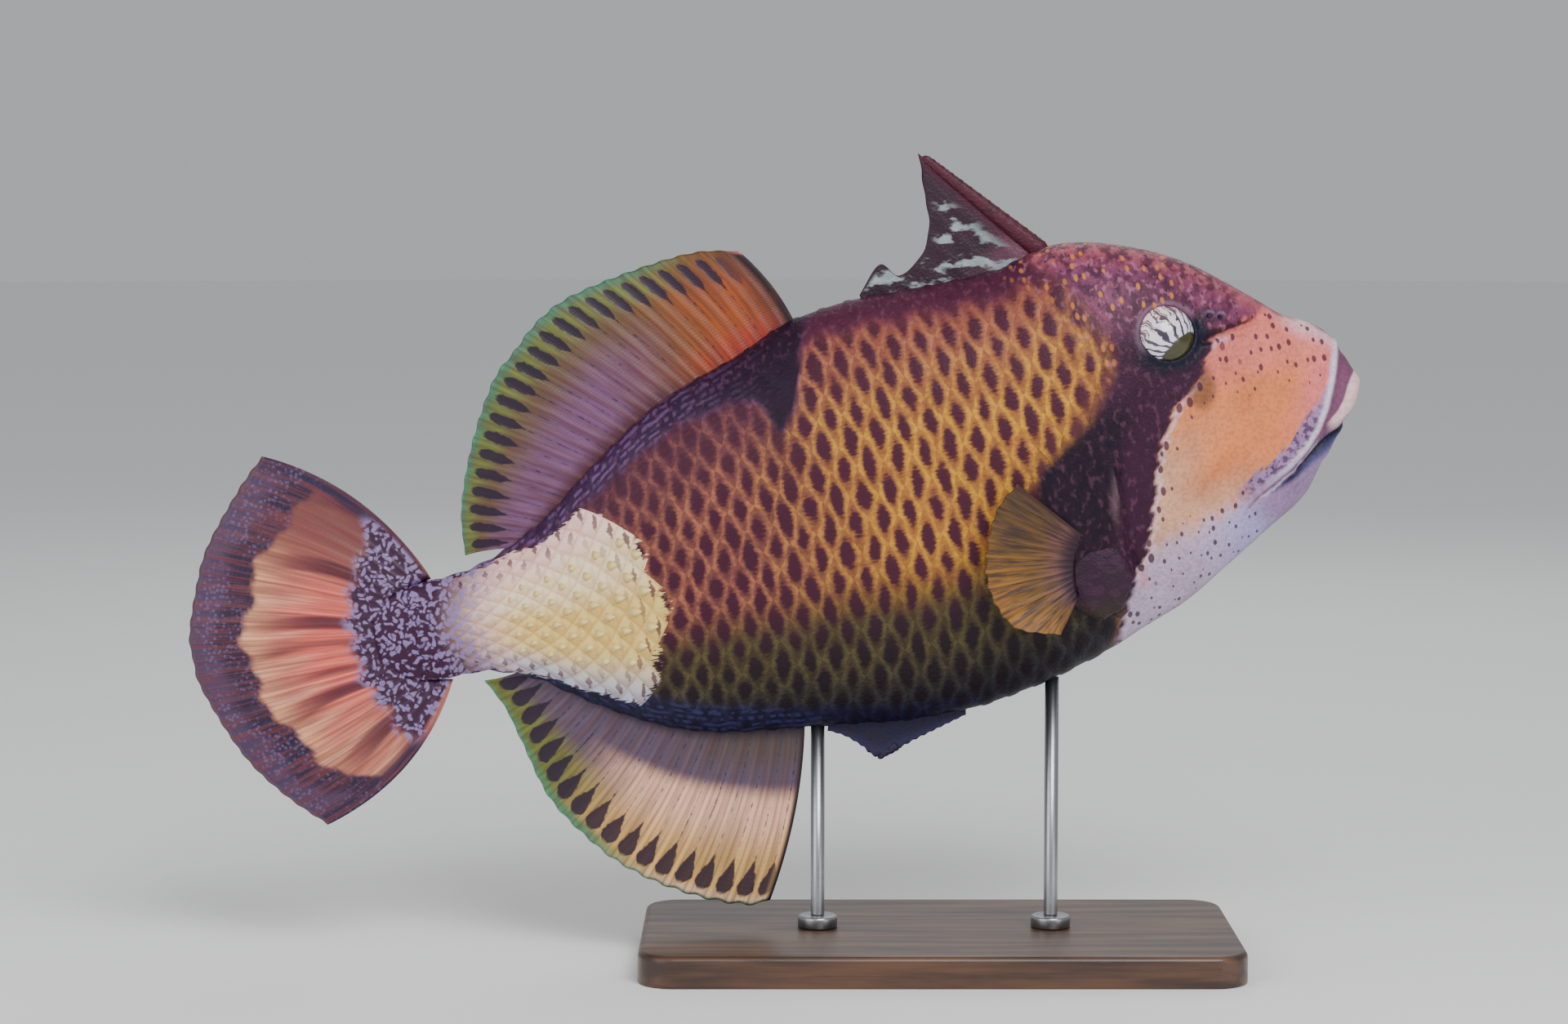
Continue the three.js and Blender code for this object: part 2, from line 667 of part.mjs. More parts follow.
function baseGeometry() {
  const { length, width, corner, bevel } = BASE;
  const [x, y, r] = [length / 2 - bevel, width / 2 - bevel, corner - bevel];
  const plan = new THREE.Shape();
  plan.absarc(x - r, y - r, r, 0, Math.PI / 2);
  plan.absarc(-x + r, y - r, r, Math.PI / 2, Math.PI);
  plan.absarc(-x + r, -y + r, r, Math.PI, 1.5 * Math.PI);
  plan.absarc(x - r, -y + r, r, 1.5 * Math.PI, 2 * Math.PI);
  plan.closePath();
  return new THREE.ExtrudeGeometry(plan, {
    depth: BASE.height - 2 * bevel,
    bevelThickness: bevel,
    bevelSize: bevel,
    bevelSegments: 1,
    curveSegments: 4,
  }).translate(0, 0, bevel);
}

function uprightCylinder(radius, bottom, top, x) {
  return new THREE.CylinderGeometry(radius, radius, top - bottom, 16)
    .rotateX(Math.PI / 2)
    .translate(x, 0, (top + bottom) / 2);
}

// Turns the level fish nose up and sets it at its height over the base
const fishPlace = new THREE.Matrix4()
  .makeTranslation(SNOUT_X, 0, SNOUT_Z)
  .multiply(new THREE.Matrix4().makeRotationY(-NOSE_UP));

const placedRoom = solidOf(geometryOf(bodyRoom).applyMatrix4(fishPlace));

function rodSolid(x) {
  const bottom = BASE.height + COLLAR.height + 2 * GAP;
  const rod = solidOf(uprightCylinder(ROD.radius, bottom, SNOUT_Z, x)).subtract(placedRoom);
  return rod.decompose().sort((a, b) => a.boundingBox().min[2] - b.boundingBox().min[2])[0];
}

// Colours of the finished animal and its stand
const finish = (color, roughness, metalness = 0) =>
  new THREE.MeshStandardMaterial({ color, roughness, metalness, side: THREE.DoubleSide });
const FINISHES = {
  head: finish(0xd99a74, 0.5),
  trunk: finish(0x8a5a2a, 0.5),
  stalk: finish(0xf0dcc0, 0.5),
  softFin: finish(0x8f7a48, 0.45),
  tailFin: finish(0xb07f68, 0.45),
  spinyFin: finish(0x4a2f45, 0.5),
  flap: finish(0x2b2a4a, 0.5),
  eye: finish(0xe8e2e0, 0.15),
  base: finish(0x3a2a20, 0.4),
  rod: finish(0xb8bcc0, 0.3, 1),
};

const fish = new THREE.Group();
fish.applyMatrix4(fishPlace);
const stand = new THREE.Group();

function put(group, name, geometry, material) {
  const mesh = new THREE.Mesh(geometry, material);
  mesh.name = name;
  group.add(mesh);
}

put(fish, "head", geometryOf(headSolid()), FINISHES.head);
put(fish, "trunk", geometryOf(bodyLength(trunkStations, scaledForm)), FINISHES.trunk);
put(fish, "tail_stalk", geometryOf(stalkSolid()), FINISHES.stalk);
put(fish, "spiny_dorsal_fin", geometryOf(spinyFinSolid()), FINISHES.spinyFin);
put(fish, "soft_dorsal_fin", geometryOf(softFinSolid(BACK_FIN, insideBack)), FINISHES.softFin);
put(fish, "anal_fin", geometryOf(softFinSolid(ANAL_FIN, insideBelly)), FINISHES.softFin);
put(fish, "caudal_fin", geometryOf(tailFinSolid()), FINISHES.tailFin);
put(fish, "belly_flap", geometryOf(flapSolid()), FINISHES.flap);
put(fish, "pelvic_spine", geometryOf(spineSolid(PELVIC_SPINE)), FINISHES.flap);
for (const [name, side] of [["left", 1], ["right", -1]]) {
  put(fish, `pectoral_fin_${name}`, geometryOf(breastFinSolid(side)), FINISHES.softFin);
  put(fish, `eye_${name}`, geometryOf(eyeBall(side)), FINISHES.eye);
}
put(stand, "stand_base", baseGeometry(), FINISHES.base);
for (const [name, x] of [["rear", ROD.x[0]], ["front", ROD.x[1]]]) {
  const collarBottom = BASE.height + GAP;
  const collar = uprightCylinder(COLLAR.radius, collarBottom, collarBottom + COLLAR.height, x);
  put(stand, `stand_collar_${name}`, collar, FINISHES.rod);
  put(stand, `stand_rod_${name}`, geometryOf(rodSolid(x)), FINISHES.rod);
}

const model = new THREE.Group();
model.add(fish, stand);

export default model;
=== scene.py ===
"""Looks of a life-size titan triggerfish on its display stand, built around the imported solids."""

import logging
import math
from dataclasses import dataclass

import bmesh
import bpy
import numpy as np
from mathutils import Matrix, Vector


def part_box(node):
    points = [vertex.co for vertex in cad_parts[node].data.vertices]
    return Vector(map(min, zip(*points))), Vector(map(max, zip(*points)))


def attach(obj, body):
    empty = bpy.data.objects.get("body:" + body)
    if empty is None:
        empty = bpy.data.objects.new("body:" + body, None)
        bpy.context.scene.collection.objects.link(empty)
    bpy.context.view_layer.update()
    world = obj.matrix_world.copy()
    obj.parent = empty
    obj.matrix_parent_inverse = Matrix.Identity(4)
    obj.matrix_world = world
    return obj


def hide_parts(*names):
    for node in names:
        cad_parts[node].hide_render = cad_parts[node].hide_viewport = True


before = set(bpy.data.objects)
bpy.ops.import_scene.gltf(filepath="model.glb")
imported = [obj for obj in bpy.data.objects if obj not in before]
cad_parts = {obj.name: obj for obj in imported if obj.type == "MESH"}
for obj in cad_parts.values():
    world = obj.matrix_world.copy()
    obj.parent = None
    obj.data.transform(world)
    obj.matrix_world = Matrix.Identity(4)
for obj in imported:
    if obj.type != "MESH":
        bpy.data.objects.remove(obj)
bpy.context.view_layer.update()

LOG = logging.getLogger("triggerfish")
Array = np.ndarray
Arrays = tuple[Array, Array]
Fields = dict[str, Array]
Pair = tuple[float, float]
Rgb = tuple[int, int, int]
Mesh = bpy.types.Mesh
Piece = bpy.types.Object
Material = bpy.types.Material

# The level fish is measured in millimetres: s behind its snout, y to its left and z up
MM = 0.001
NOSE_UP = math.radians(12)
SNOUT_X = 209.0
SNOUT_Z = 288.0
GILL_S = 131.0
END_S = 508.0
# The lattice of scales: levels from belly to back, half a scale's length, and how far its columns bow
SCALE_LEVELS = 18
HALF_SCALE = 6.75
COLUMN_BULGE = 9.0
# Reach of the pale stalk's border as it is passed to the material
STALK_FADE = 30.0


def to_metres(s: Array, y: Array, z: Array) -> Array:
    """Turns places on the level fish into metres in the model's frame.

    Args:
        s: Distance behind the snout, in millimetres.
        y: Distance to the left.
        z: Height over the snout.

    Returns:
        An array with a last axis of X, Y and Z.
    """
    x = (SNOUT_X - s * math.cos(NOSE_UP) - z * math.sin(NOSE_UP)) * MM
    up = (SNOUT_Z - s * math.sin(NOSE_UP) + z * math.cos(NOSE_UP)) * MM
    return np.stack(np.broadcast_arrays(x, y * MM, up), axis=-1)


def facing(way: Array) -> Matrix:
    """Gives the turn that points a piece's Z axis along a direction (s, y, z) of the level fish."""
    turned = Vector(to_metres(*way) - to_metres(0, 0, 0))
    return turned.normalized().to_track_quat("Z", "Y").to_matrix().to_4x4()


def side_name(side: int) -> str:
    """Names the fish's left side, 1, or its right side, -1."""
    return "left" if side > 0 else "right"


def ramp(value: Array, low: float, high: float) -> Array:
    """Rises smoothly from 0 at low to 1 at high, which may be below low."""
    t = np.clip((value - low) / (high - low), 0, 1)
    return t * t * (3 - 2 * t)


def hill(value: Array, width: float) -> Array:
    """Is 1 at 0 and falls to nothing about two widths away."""
    return np.exp(-((value / width) ** 2))


def paint(red: int, green: int, blue: int) -> Array:
    """Gives a display colour, 0 to 255 a channel, as linear light."""
    share = np.array([red, green, blue]) / 255
    return np.where(share <= 0.04045, share / 12.92, ((share + 0.055) / 1.055) ** 2.4)


def lay(base: Array, colour: Array, mask: Array) -> Array:
    """Lays a colour over a base where the mask is 1."""
    return base + (colour - base) * np.asarray(mask)[..., None]


def layered(shape: tuple[int, ...], base: Array, *layers: Arrays) -> Array:
    """Lays colours over each other.

    Args:
        shape: Shape of the array of places.
        base: The lowest colour.
        layers: Pairs of a colour and a mask of where it lies.

    Returns:
        The colours, with a last axis of three.
    """
    colours = np.broadcast_to(base, (*shape, 3))
    for colour, mask in layers:
        colours = lay(colours, colour, mask)
    return colours


def waver(along: Array) -> Array:
    """Wanders unevenly between about -1.5 and 1.5 along a line in millimetres."""
    slow = np.sin(along * 0.61 + 1.7 * np.sin(along * 0.17))
    return slow + 0.6 * np.sin(along * 1.43 + np.sin(along * 0.37))


def signed_power(value: Array, power: Array) -> Array:
    """Raises the size of a value to a power and keeps its sign."""
    return np.sign(value) * np.abs(value) ** power


class Run:
    """A smooth run of sizes along the body that keeps the rises and falls of its points."""

    def __init__(self, *points: Pair) -> None:
        """Works out the slopes at the points, in the square root of s.

        Args:
            points: Pairs of s and size.
        """
        self.xs = np.sqrt([p[0] for p in points])
        self.ys = np.array([p[1] for p in points], float)
        steps = np.diff(self.ys) / np.diff(self.xs)
        a, b = steps[:-1], steps[1:]
        same_way = a * b > 0
        inner = np.where(same_way, 2 * a * b / np.where(same_way, a + b, 1), 0)
        self.slopes = np.concatenate([steps[:1], inner, steps[-1:]])

    def at(self, s: Array) -> Array:
        """Reads the run.

        Args:
            s: Distance behind the snout.

        Returns:
            The size there.
        """
        x = np.clip(np.sqrt(np.maximum(s, 0)), self.xs[0], self.xs[-1])
        k = np.clip(np.searchsorted(self.xs, x, side="right") - 1, 0, len(self.xs) - 2)
        h = self.xs[k + 1] - self.xs[k]
        t = (x - self.xs[k]) / h
        rest = 1 - t
        curve = self.ys[k] * rest**2 * (1 + 2 * t) + self.ys[k + 1] * t**2 * (3 - 2 * t)
        return curve + self.slopes[k] * h * t * rest**2 - self.slopes[k + 1] * h * t**2 * rest


class Trail:
    """A line of straight steps on the side view, from which distances are measured."""

    def __init__(self, *points: Pair) -> None:
        """Keeps the points and how far along the line each lies.

        Args:
            points: Pairs of s and z.
        """
        self.points = np.array(points, float)
        steps = np.hypot(*np.diff(self.points, axis=0).T)
        self.along = np.concatenate([[0], np.cumsum(steps)])
        self.length = self.along[-1]

    def near(self, s: Array, z: Array) -> Arrays:
        """Finds how far places are from the line.

        Args:
            s: Distance behind the snout.
            z: Height.

        Returns:
            The distance, above 0 on the upper side of a line that runs back, and the share along it.
        """
        best = np.full(np.shape(s), 1e9)
        side = np.zeros(np.shape(s))
        share = np.zeros(np.shape(s))
        for (s0, z0), (s1, z1), start in zip(self.points[:-1], self.points[1:], self.along[:-1]):
            ds, dz = s1 - s0, z1 - z0
            t = np.clip(((s - s0) * ds + (z - z0) * dz) / (ds * ds + dz * dz), 0, 1)
            away = np.hypot(s - s0 - t * ds, z - z0 - t * dz)
            across = (ds * (z - z0) - dz * (s - s0)) / math.hypot(ds, dz)
            # At a corner both steps are equally near, and the one that is seen less edge-on tells the side
            closer = (away < best - 1e-6) | ((away < best + 1e-6) & (np.abs(across) > np.abs(side)))
            best = np.where(closer, away, best)
            side = np.where(closer, across, side)
            share = np.where(closer, (start + t * math.hypot(ds, dz)) / self.length, share)
        return best * np.sign(side), share


class Outline:
    """A smooth line through points on the side view, read by its length, as the solids' margins are."""

    SAMPLES = 2000

    def __init__(self, *points: Pair) -> None:
        """Samples the curve and measures it.

        Args:
            points: Pairs of s and z.
        """
        p = np.array(points, float)
        t = np.linspace(0, len(p) - 1, self.SAMPLES)
        k = np.clip(t.astype(int), 0, len(p) - 2)
        w = (t - k)[:, None]
        before, here, there, after = p[np.maximum(k - 1, 0)], p[k], p[k + 1], p[np.minimum(k + 2, len(p) - 1)]
        v0, v1 = (there - before) / 2, (after - here) / 2
        self.path = (
            (2 * here - 2 * there + v0 + v1) * w**3
            + (-3 * here + 3 * there - 2 * v0 - v1) * w**2
            + v0 * w
            + here
        )
        lengths = np.hypot(*np.diff(self.path, axis=0).T)
        self.share = np.concatenate([[0], np.cumsum(lengths)]) / lengths.sum()

    def at(self, u: Array) -> Arrays:
        """Gives s and z at a share u of the length."""
        return np.interp(u, self.share, self.path[:, 0]), np.interp(u, self.share, self.path[:, 1])


class Form:
    """The body's form: its outline, its widths and how full its sections are, as in the solids."""

    BACK = Run(
        (0, 5), (0.7, 11), (2.2, 16), (6.7, 27.5), (12.6, 35), (20.7, 40.5), (30, 45.5), (39, 53.5), (53, 66),
        (75, 83), (97, 94), (121, 101.4), (134, 103), (148, 101), (168, 96.8), (193, 96.6), (235, 97.5),
        (269, 94), (302, 81.5), (324, 74.5), (346, 65.5), (385, 41.5), (415, 20.5), (447, 6.5), (462, 3.8),
        (485, 3), (508, -6),
    )
    BELLY = Run(
        (0, 5), (0.9, -1), (3.5, -6.5), (12, -13.5), (18, -21), (27.5, -34.5), (36, -45), (59, -59),
        (82, -72.5), (106, -86), (129, -94.5), (152, -103.5), (196, -114), (222, -117), (250, -116.5),
        (284, -112), (306, -109), (341, -104), (361, -99), (380, -91), (410, -73), (431, -57.5), (447, -50),
        (460, -47), (485, -47), (508, -38),
    )
    WIDEST = Run(
        (0, 5), (8, 4), (30, 0), (60, -2), (100, 0), (150, -6), (250, -10), (330, -14), (400, -20),
        (508, -22),
    )
    HALF_WIDTH = Run(
        (0, 0), (0.8, 6.5), (3, 11), (8, 15), (15, 18.5), (30, 23.5), (50, 29), (75, 35), (100, 40.5),
        (131, 45), (170, 47), (210, 46), (260, 42), (310, 35), (350, 28), (390, 21.5), (420, 17), (447, 14),
        (470, 11), (490, 7), (508, 2.5),
    )
    FULL_ABOVE = Run((0, 2.1), (40, 2.3), (90, 2.4), (140, 2.15), (300, 1.9), (508, 2))
    FULL_BELOW = Run((0, 2.1), (60, 2.2), (140, 1.95), (300, 1.85), (400, 2), (508, 2))
    GIRTH_STEPS = 160
    TABLE_RINGS = 420

    def __init__(self) -> None:
        """Tabulates the angle that each share of the girth has along the body."""
        self.table_s = END_S * np.linspace(0, 1, self.TABLE_RINGS) ** 2
        fine = np.linspace(-math.pi / 2, math.pi / 2, self.GIRTH_STEPS + 1)
        self.shares = np.linspace(0, 1, self.GIRTH_STEPS + 1)
        rows, girths, middles = [], [], []
        for s in self.table_s:
            y, z = self.section(s, fine)
            lengths = np.concatenate([[0], np.cumsum(np.hypot(np.diff(y), np.diff(z)))])
            total = lengths[-1]
            rows.append(np.interp(self.shares * total, lengths, fine) if total > 0 else fine)
            girths.append(total)
            middles.append(np.interp(0, fine, lengths) / total if total > 0 else 0.5)
        self.angles, self.girths, self.middles = np.array(rows), np.array(girths), np.array(middles)

    def curve(self, s: Array, above: Array) -> tuple[Array, Array, Array]:
        """Gives the fullness, the widest height and the reach of a section's upper or lower half.

        Args:
            s: Distance behind the snout.
            above: Where the upper half is asked for.

        Returns:
            The power of the curve, the height where it starts and how far it reaches from there.
        """
        widest = self.WIDEST.at(s)
        full = np.where(above, self.FULL_ABOVE.at(s), self.FULL_BELOW.at(s))
        return full, widest, np.where(above, self.BACK.at(s) - widest, widest - self.BELLY.at(s))

    def section(self, s: Array, angle: Array) -> Arrays:
        """Gives places on the section at s.

        Args:
            s: Distance behind the snout.
            angle: Angle from the belly, -90 degrees, through the left flank to the back.

        Returns:
            y and z.
        """
        full, widest, reach = self.curve(s, angle >= 0)
        y = self.HALF_WIDTH.at(s) * np.maximum(np.cos(angle), 0) ** (2 / full)
        return y, widest + reach * signed_power(np.sin(angle), 2 / full)

    def angle(self, s: Array, share: Array) -> Array:
        """Reads the table of angles.

        Args:
            s: Distance behind the snout.
            share: Share of the girth, 0 at the belly and 1 at the back.

        Returns:
            The section's angle there.
        """
        row = np.interp(s, self.table_s, np.arange(self.TABLE_RINGS))
        column = np.clip(share, 0, 1) * self.GIRTH_STEPS
        i = np.clip(row.astype(int), 0, self.TABLE_RINGS - 2)
        j = np.clip(column.astype(int), 0, self.GIRTH_STEPS - 1)
        p, q = row - i, column - j
        table = self.angles
        near = table[i, j] * (1 - q) + table[i, j + 1] * q
        far = table[i + 1, j] * (1 - q) + table[i + 1, j + 1] * q
        return near * (1 - p) + far * p

    def point(self, s: Array, share: Array, side: Array) -> Array:
        """Finds places on the skin.

        Args:
            s: Distance behind the snout.
            share: Share of the girth, 0 at the belly and 1 at the back.
            side: 1 for the left and -1 for the right.

        Returns:
            An array with a last axis of s, y and z.
        """
        s, share, side = np.broadcast_arrays(s, share, side)
        y, z = self.section(s, self.angle(s, share))
        return np.stack([s, side * y, z], axis=-1)

    def height(self, s: Array, share: Array) -> Array:
        """Measures height along the skin.

        Args:
            s: Distance behind the snout.
            share: Share of the girth.

        Returns:
            The height, which equals z where the body is widest.
        """
        girth = np.interp(s, self.table_s, self.girths)
        middle = np.interp(s, self.table_s, self.middles)
        return self.WIDEST.at(s) + (share - middle) * girth

    def normal(self, s: Array, share: Array, side: Array) -> Array:
        """Finds the outward direction on the skin, from places a little way off.

        Args:
            s: Distance behind the snout.
            share: Share of the girth.
            side: 1 for the left and -1 for the right.

        Returns:
            Directions of length 1, with a last axis of s, y and z.
        """
        ds, dg = 0.8, 0.004
        low, high = np.clip(share - dg, 0, 1), np.clip(share + dg, 0, 1)
        back = self.point(s + ds, share, side) - self.point(np.maximum(s - ds, 0), share, side)
        up = self.point(s, high, side) - self.point(s, low, side)
        across = np.cross(back, up) * -np.asarray(side)[..., None]
        return across / np.maximum(np.linalg.norm(across, axis=-1, keepdims=True), 1e-9)

    def flank(self, s: Array, z: Array) -> Array:
        """Gives half the width of the body.

        Args:
            s: Distance behind the snout.
            z: Height.

        Returns:
            The distance of the skin from the midline.
        """
        full, widest, reach = self.curve(s, z >= self.WIDEST.at(s))
        share = np.minimum(np.abs(z - widest) / reach, 1)
        return self.HALF_WIDTH.at(s) * (1 - share**full) ** (1 / full)

    def outward(self, s: float, z: float, side: int) -> Array:
        """Finds the outward direction at one place on the flank.

        Args:
            s: Distance behind the snout.
            z: Height.
            side: 1 for the left and -1 for the right.

        Returns:
            The direction (s, y, z), of length 1.
        """
        step = 1.5
        slope_back = float(self.flank(s + step, z) - self.flank(s - step, z)) / (2 * step)
        slope_up = float(self.flank(s, z + step) - self.flank(s, z - step)) / (2 * step)
        direction = np.array([-slope_back, side, -slope_up])
        return direction / np.linalg.norm(direction)

    def edge(self, s: Array, z: Array) -> Array:
        """Gives the distance below the back or over the belly, whichever is less."""
        return np.minimum(self.BACK.at(s) - z, z - self.BELLY.at(s))

    def column(self, s: Array, share: Array) -> Array:
        """Finds the column of the lattice of scales that passes through a place.

        Args:
            s: Distance behind the snout.
            share: Share of the girth.

        Returns:
            The column, counted in half scales from the gill.
        """
        start = np.array(s, float)
        for _ in range(4):
            start = s - self.bulge(start, share)
        return (start - GILL_S) / HALF_SCALE

    def lattice(self, column: Array, level: Array) -> Arrays:
        """Finds places in the lattice of scales.

        Args:
            column: Column, counted in half scales from the gill.
            level: Level, from 0 at the belly to SCALE_LEVELS at the back.

        Returns:
            s and the share of the girth.
        """
        start = GILL_S + HALF_SCALE * column
        share = np.clip(level / SCALE_LEVELS, 0, 1)
        return start + self.bulge(start, share), share

    def scale_place(self, column: Array, level: Array) -> Arrays:
        """Gives s and z of a place in the lattice of scales."""
        s, share = self.lattice(column, level)
        return s, self.point(s, share, 1.0)[..., 2]

    def nearest_scale(self, column: Array, level: Array) -> Arrays:
        """Gives s and z of the middle of the scale that a place in the lattice lies on."""
        rise, fall = np.round((column + level) / 2), np.round((column - level) / 2)
        return self.scale_place(rise + fall, rise - fall)

    @staticmethod
    def bulge(start: Array, share: Array) -> Array:
        """Gives how far a scale column lies back from its start, as the columns bow towards the head."""
        fade = ramp(start, 100, 190) * ramp(start, 420, 330)
        return COLUMN_BULGE * fade * (2 * share - 1) ** 2


FORM = Form()


class Layout:
    """Where the markings and folds of the body lie on its side view."""

    CHEEK_REAR = Trail(
        (66, 50), (72.1, 35.4), (83.5, 21.1), (96.1, 11.2), (105.5, -3.6), (111, -19.2), (116.4, -39),
        (122.6, -54.4), (129.2, -65.6), (136.6, -80.8), (146, -104),
    )
    CROWN = Trail((20, 60), (33, 53), (44, 48.5), (60, 45), (72, 43), (84, 36), (100, 34), (112, 46))
    SCALES_FRONT = Trail(
        (158, 116), (148, 98), (133, 84), (123, 66), (118, 52), (118, 38), (124, 28.8), (137, 15.3),
        (154, 4.6), (166, -3.2), (171, -12), (171, -40), (160, -62), (141, -68), (139, -81), (147, -108),
    )
    STALK_FRONT = Trail(
        (398, 44), (401, 25.7), (381, 21.5), (368.4, 2), (363.8, -15.7), (359.2, -33.5), (364.6, -49.1),
        (374.9, -67.9), (388, -84), (392, -96),
    )
    RIDGE = Trail(
        (6, 30), (10.1, 19.3), (14, 9.3), (20.1, -3.7), (26.3, -13.3), (33.8, -20.9), (44, -28), (58, -35),
        (72, -43),
    )
    MOUTH = Trail((-3, -4.5), (5, -8), (10, -10), (15.5, -14.5), (22, -19), (31, -25), (42, -32), (54, -38))
    UPPER_LIP = Trail((-2, 9), (1.2, 6), (3.5, 3), (7, -3.5), (11.5, -9), (17, -13.5), (23, -16.5))
    LOWER_LIP = Trail((10, -14), (15, -16), (20, -20.5), (28, -27.5), (37, -34))
    GROOVE = Trail((38, 49), (44, 47), (54, 46), (63, 44.5), (76, 41.5))
    GILL = Trail((126.5, 2), (129.5, -18), (130.6, -36), (129.8, -52), (126, -68))
    NOSTRILS = ((62.5, 52.0), (68.0, 54.0))
    NOSTRIL_RADIUS = 2.3
    EYE = (90.5, 50.0)
    EYE_RADIUS = 16.8
    EYE_PROUD = 6.5
    EYE_RIM = 14.6
    EYE_FOLD = 18.9
    BLOTCH_DEPTH = Run(
        (0, 0), (262, 0), (268, 14), (276, 40), (286, 47), (291, 34), (300, 22), (325, 17), (350, 15),
        (385, 13), (415, 10), (432, 3), (508, 0),
    )
    BELLY_DARK = Run(
        (0, 0), (190, 0), (222, 7), (262, 10), (300, 12), (345, 16), (385, 17), (412, 12), (440, 2),
    )
    THROAT = Run((0, -34), (30, -26), (45, -28), (70, -40), (94, -48), (117, -54), (145, -74), (508, -80))
    BREAST_FIN = (147.0, -57.0)


LAYOUT = Layout()


def cheek_depth(s: Array, z: Array) -> Array:
    """Gives how far places lie before the cheek's rear border, below 0 behind it."""
    return -LAYOUT.CHEEK_REAR.near(s, z)[0]


def on_stalk(s: Array, z: Array) -> Array:
    """Is 1 for scales whose middle lies on the pale tail stalk and 0 before it."""
    return ramp(LAYOUT.STALK_FRONT.near(s, z)[0], -1, 1)


def breast_seat() -> float:
    """Gives how far the flank is from the midline under the lobe of a breast fin."""
    return float(FORM.flank(*LAYOUT.BREAST_FIN))


def eye_anchor(side: int) -> Array:
    """Gives the place (s, y, z) on the flank over which an eye sits."""
    s, z = LAYOUT.EYE
    return np.array([s, side * float(FORM.flank(s, z)), z])


def relief(s: Array, y: Array, z: Array) -> Array:
    """Gives how far the skin's folds stand out of the plain form, in millimetres.

    Args:
        s: Distance behind the snout.
        y: Distance to the left.
        z: Height.

    Returns:
        The height of the skin over the plain form.
    """
    out = np.zeros(np.shape(s))
    away, share = LAYOUT.UPPER_LIP.near(s, z)
    out += 2.4 * hill(away, 3.0) * ramp(share, 1.02, 0.7)
    away, share = LAYOUT.LOWER_LIP.near(s, z)
    out += 1.9 * hill(away, 2.4) * ramp(share, 1.02, 0.5) * ramp(share, -0.02, 0.1)
    away, share = LAYOUT.MOUTH.near(s, z)
    out -= 1.9 * hill(away, 0.8) * ramp(share, 1.0, 0.55)
    out += 0.9 * hill(away + 4.2, 1.6) * ramp(share, 1.0, 0.8) * ramp(share, 0.35, 0.55)
    away, share = LAYOUT.RIDGE.near(s, z)
    out += 1.0 * hill(away, 1.5) * ramp(share, 1.0, 0.5)
    out -= 0.7 * hill(away + 4.5, 2.0) * ramp(share, 0.75, 0.5)
    away, share = LAYOUT.GROOVE.near(s, z)
    ends = ramp(share, 0, 0.3) * ramp(share, 1.0, 0.93)
    out += (-2.0 * hill(away, 1.6) + 0.9 * hill(away + 3.4, 1.5)) * ends
    away, share = LAYOUT.GILL.near(s, z)
    ends = ramp(share, 0, 0.2) * ramp(share, 1.0, 0.9)
    out += (-2.6 * hill(away, 1.3) + 0.9 * hill(away - 3.2, 1.8)) * ends
    for centre_s, centre_z in LAYOUT.NOSTRILS:
        away = np.hypot(s - centre_s, z - centre_z)
        out += 0.6 * hill(away - LAYOUT.NOSTRIL_RADIUS, 1.0) - 1.2 * hill(away, 1.1)
    cheek = ramp(cheek_depth(s, z), 2, 16) * ramp(z, 30, 10) * ramp(s, 40, 70)
    out += 0.35 * np.sin((s * 0.5 + z * 0.86) / 3.1 + np.sin(z / 13)) * cheek * ramp(z, -58, -35)
    for side in (1, -1):
        eye_s, eye_y, eye_z = eye_anchor(side)
        away = np.sqrt((s - eye_s) ** 2 + (y - eye_y) ** 2 + (z - eye_z) ** 2)
        turn = np.arctan2(z - eye_z, s - eye_s)
        folds = 1 + 0.12 * np.sin(9 * turn) + 0.08 * np.sin(23 * turn + 1)
        rings = 1.0 * hill(away - LAYOUT.EYE_RIM, 1.3) + 0.25 * hill(away - LAYOUT.EYE_FOLD, 1.6)
        # Behind the eyeball the skin sinks, so that none of it pierces the ball
        out += rings * folds - 4.0 * ramp(away, LAYOUT.EYE_RIM - 0.6, 11.5)
    return out


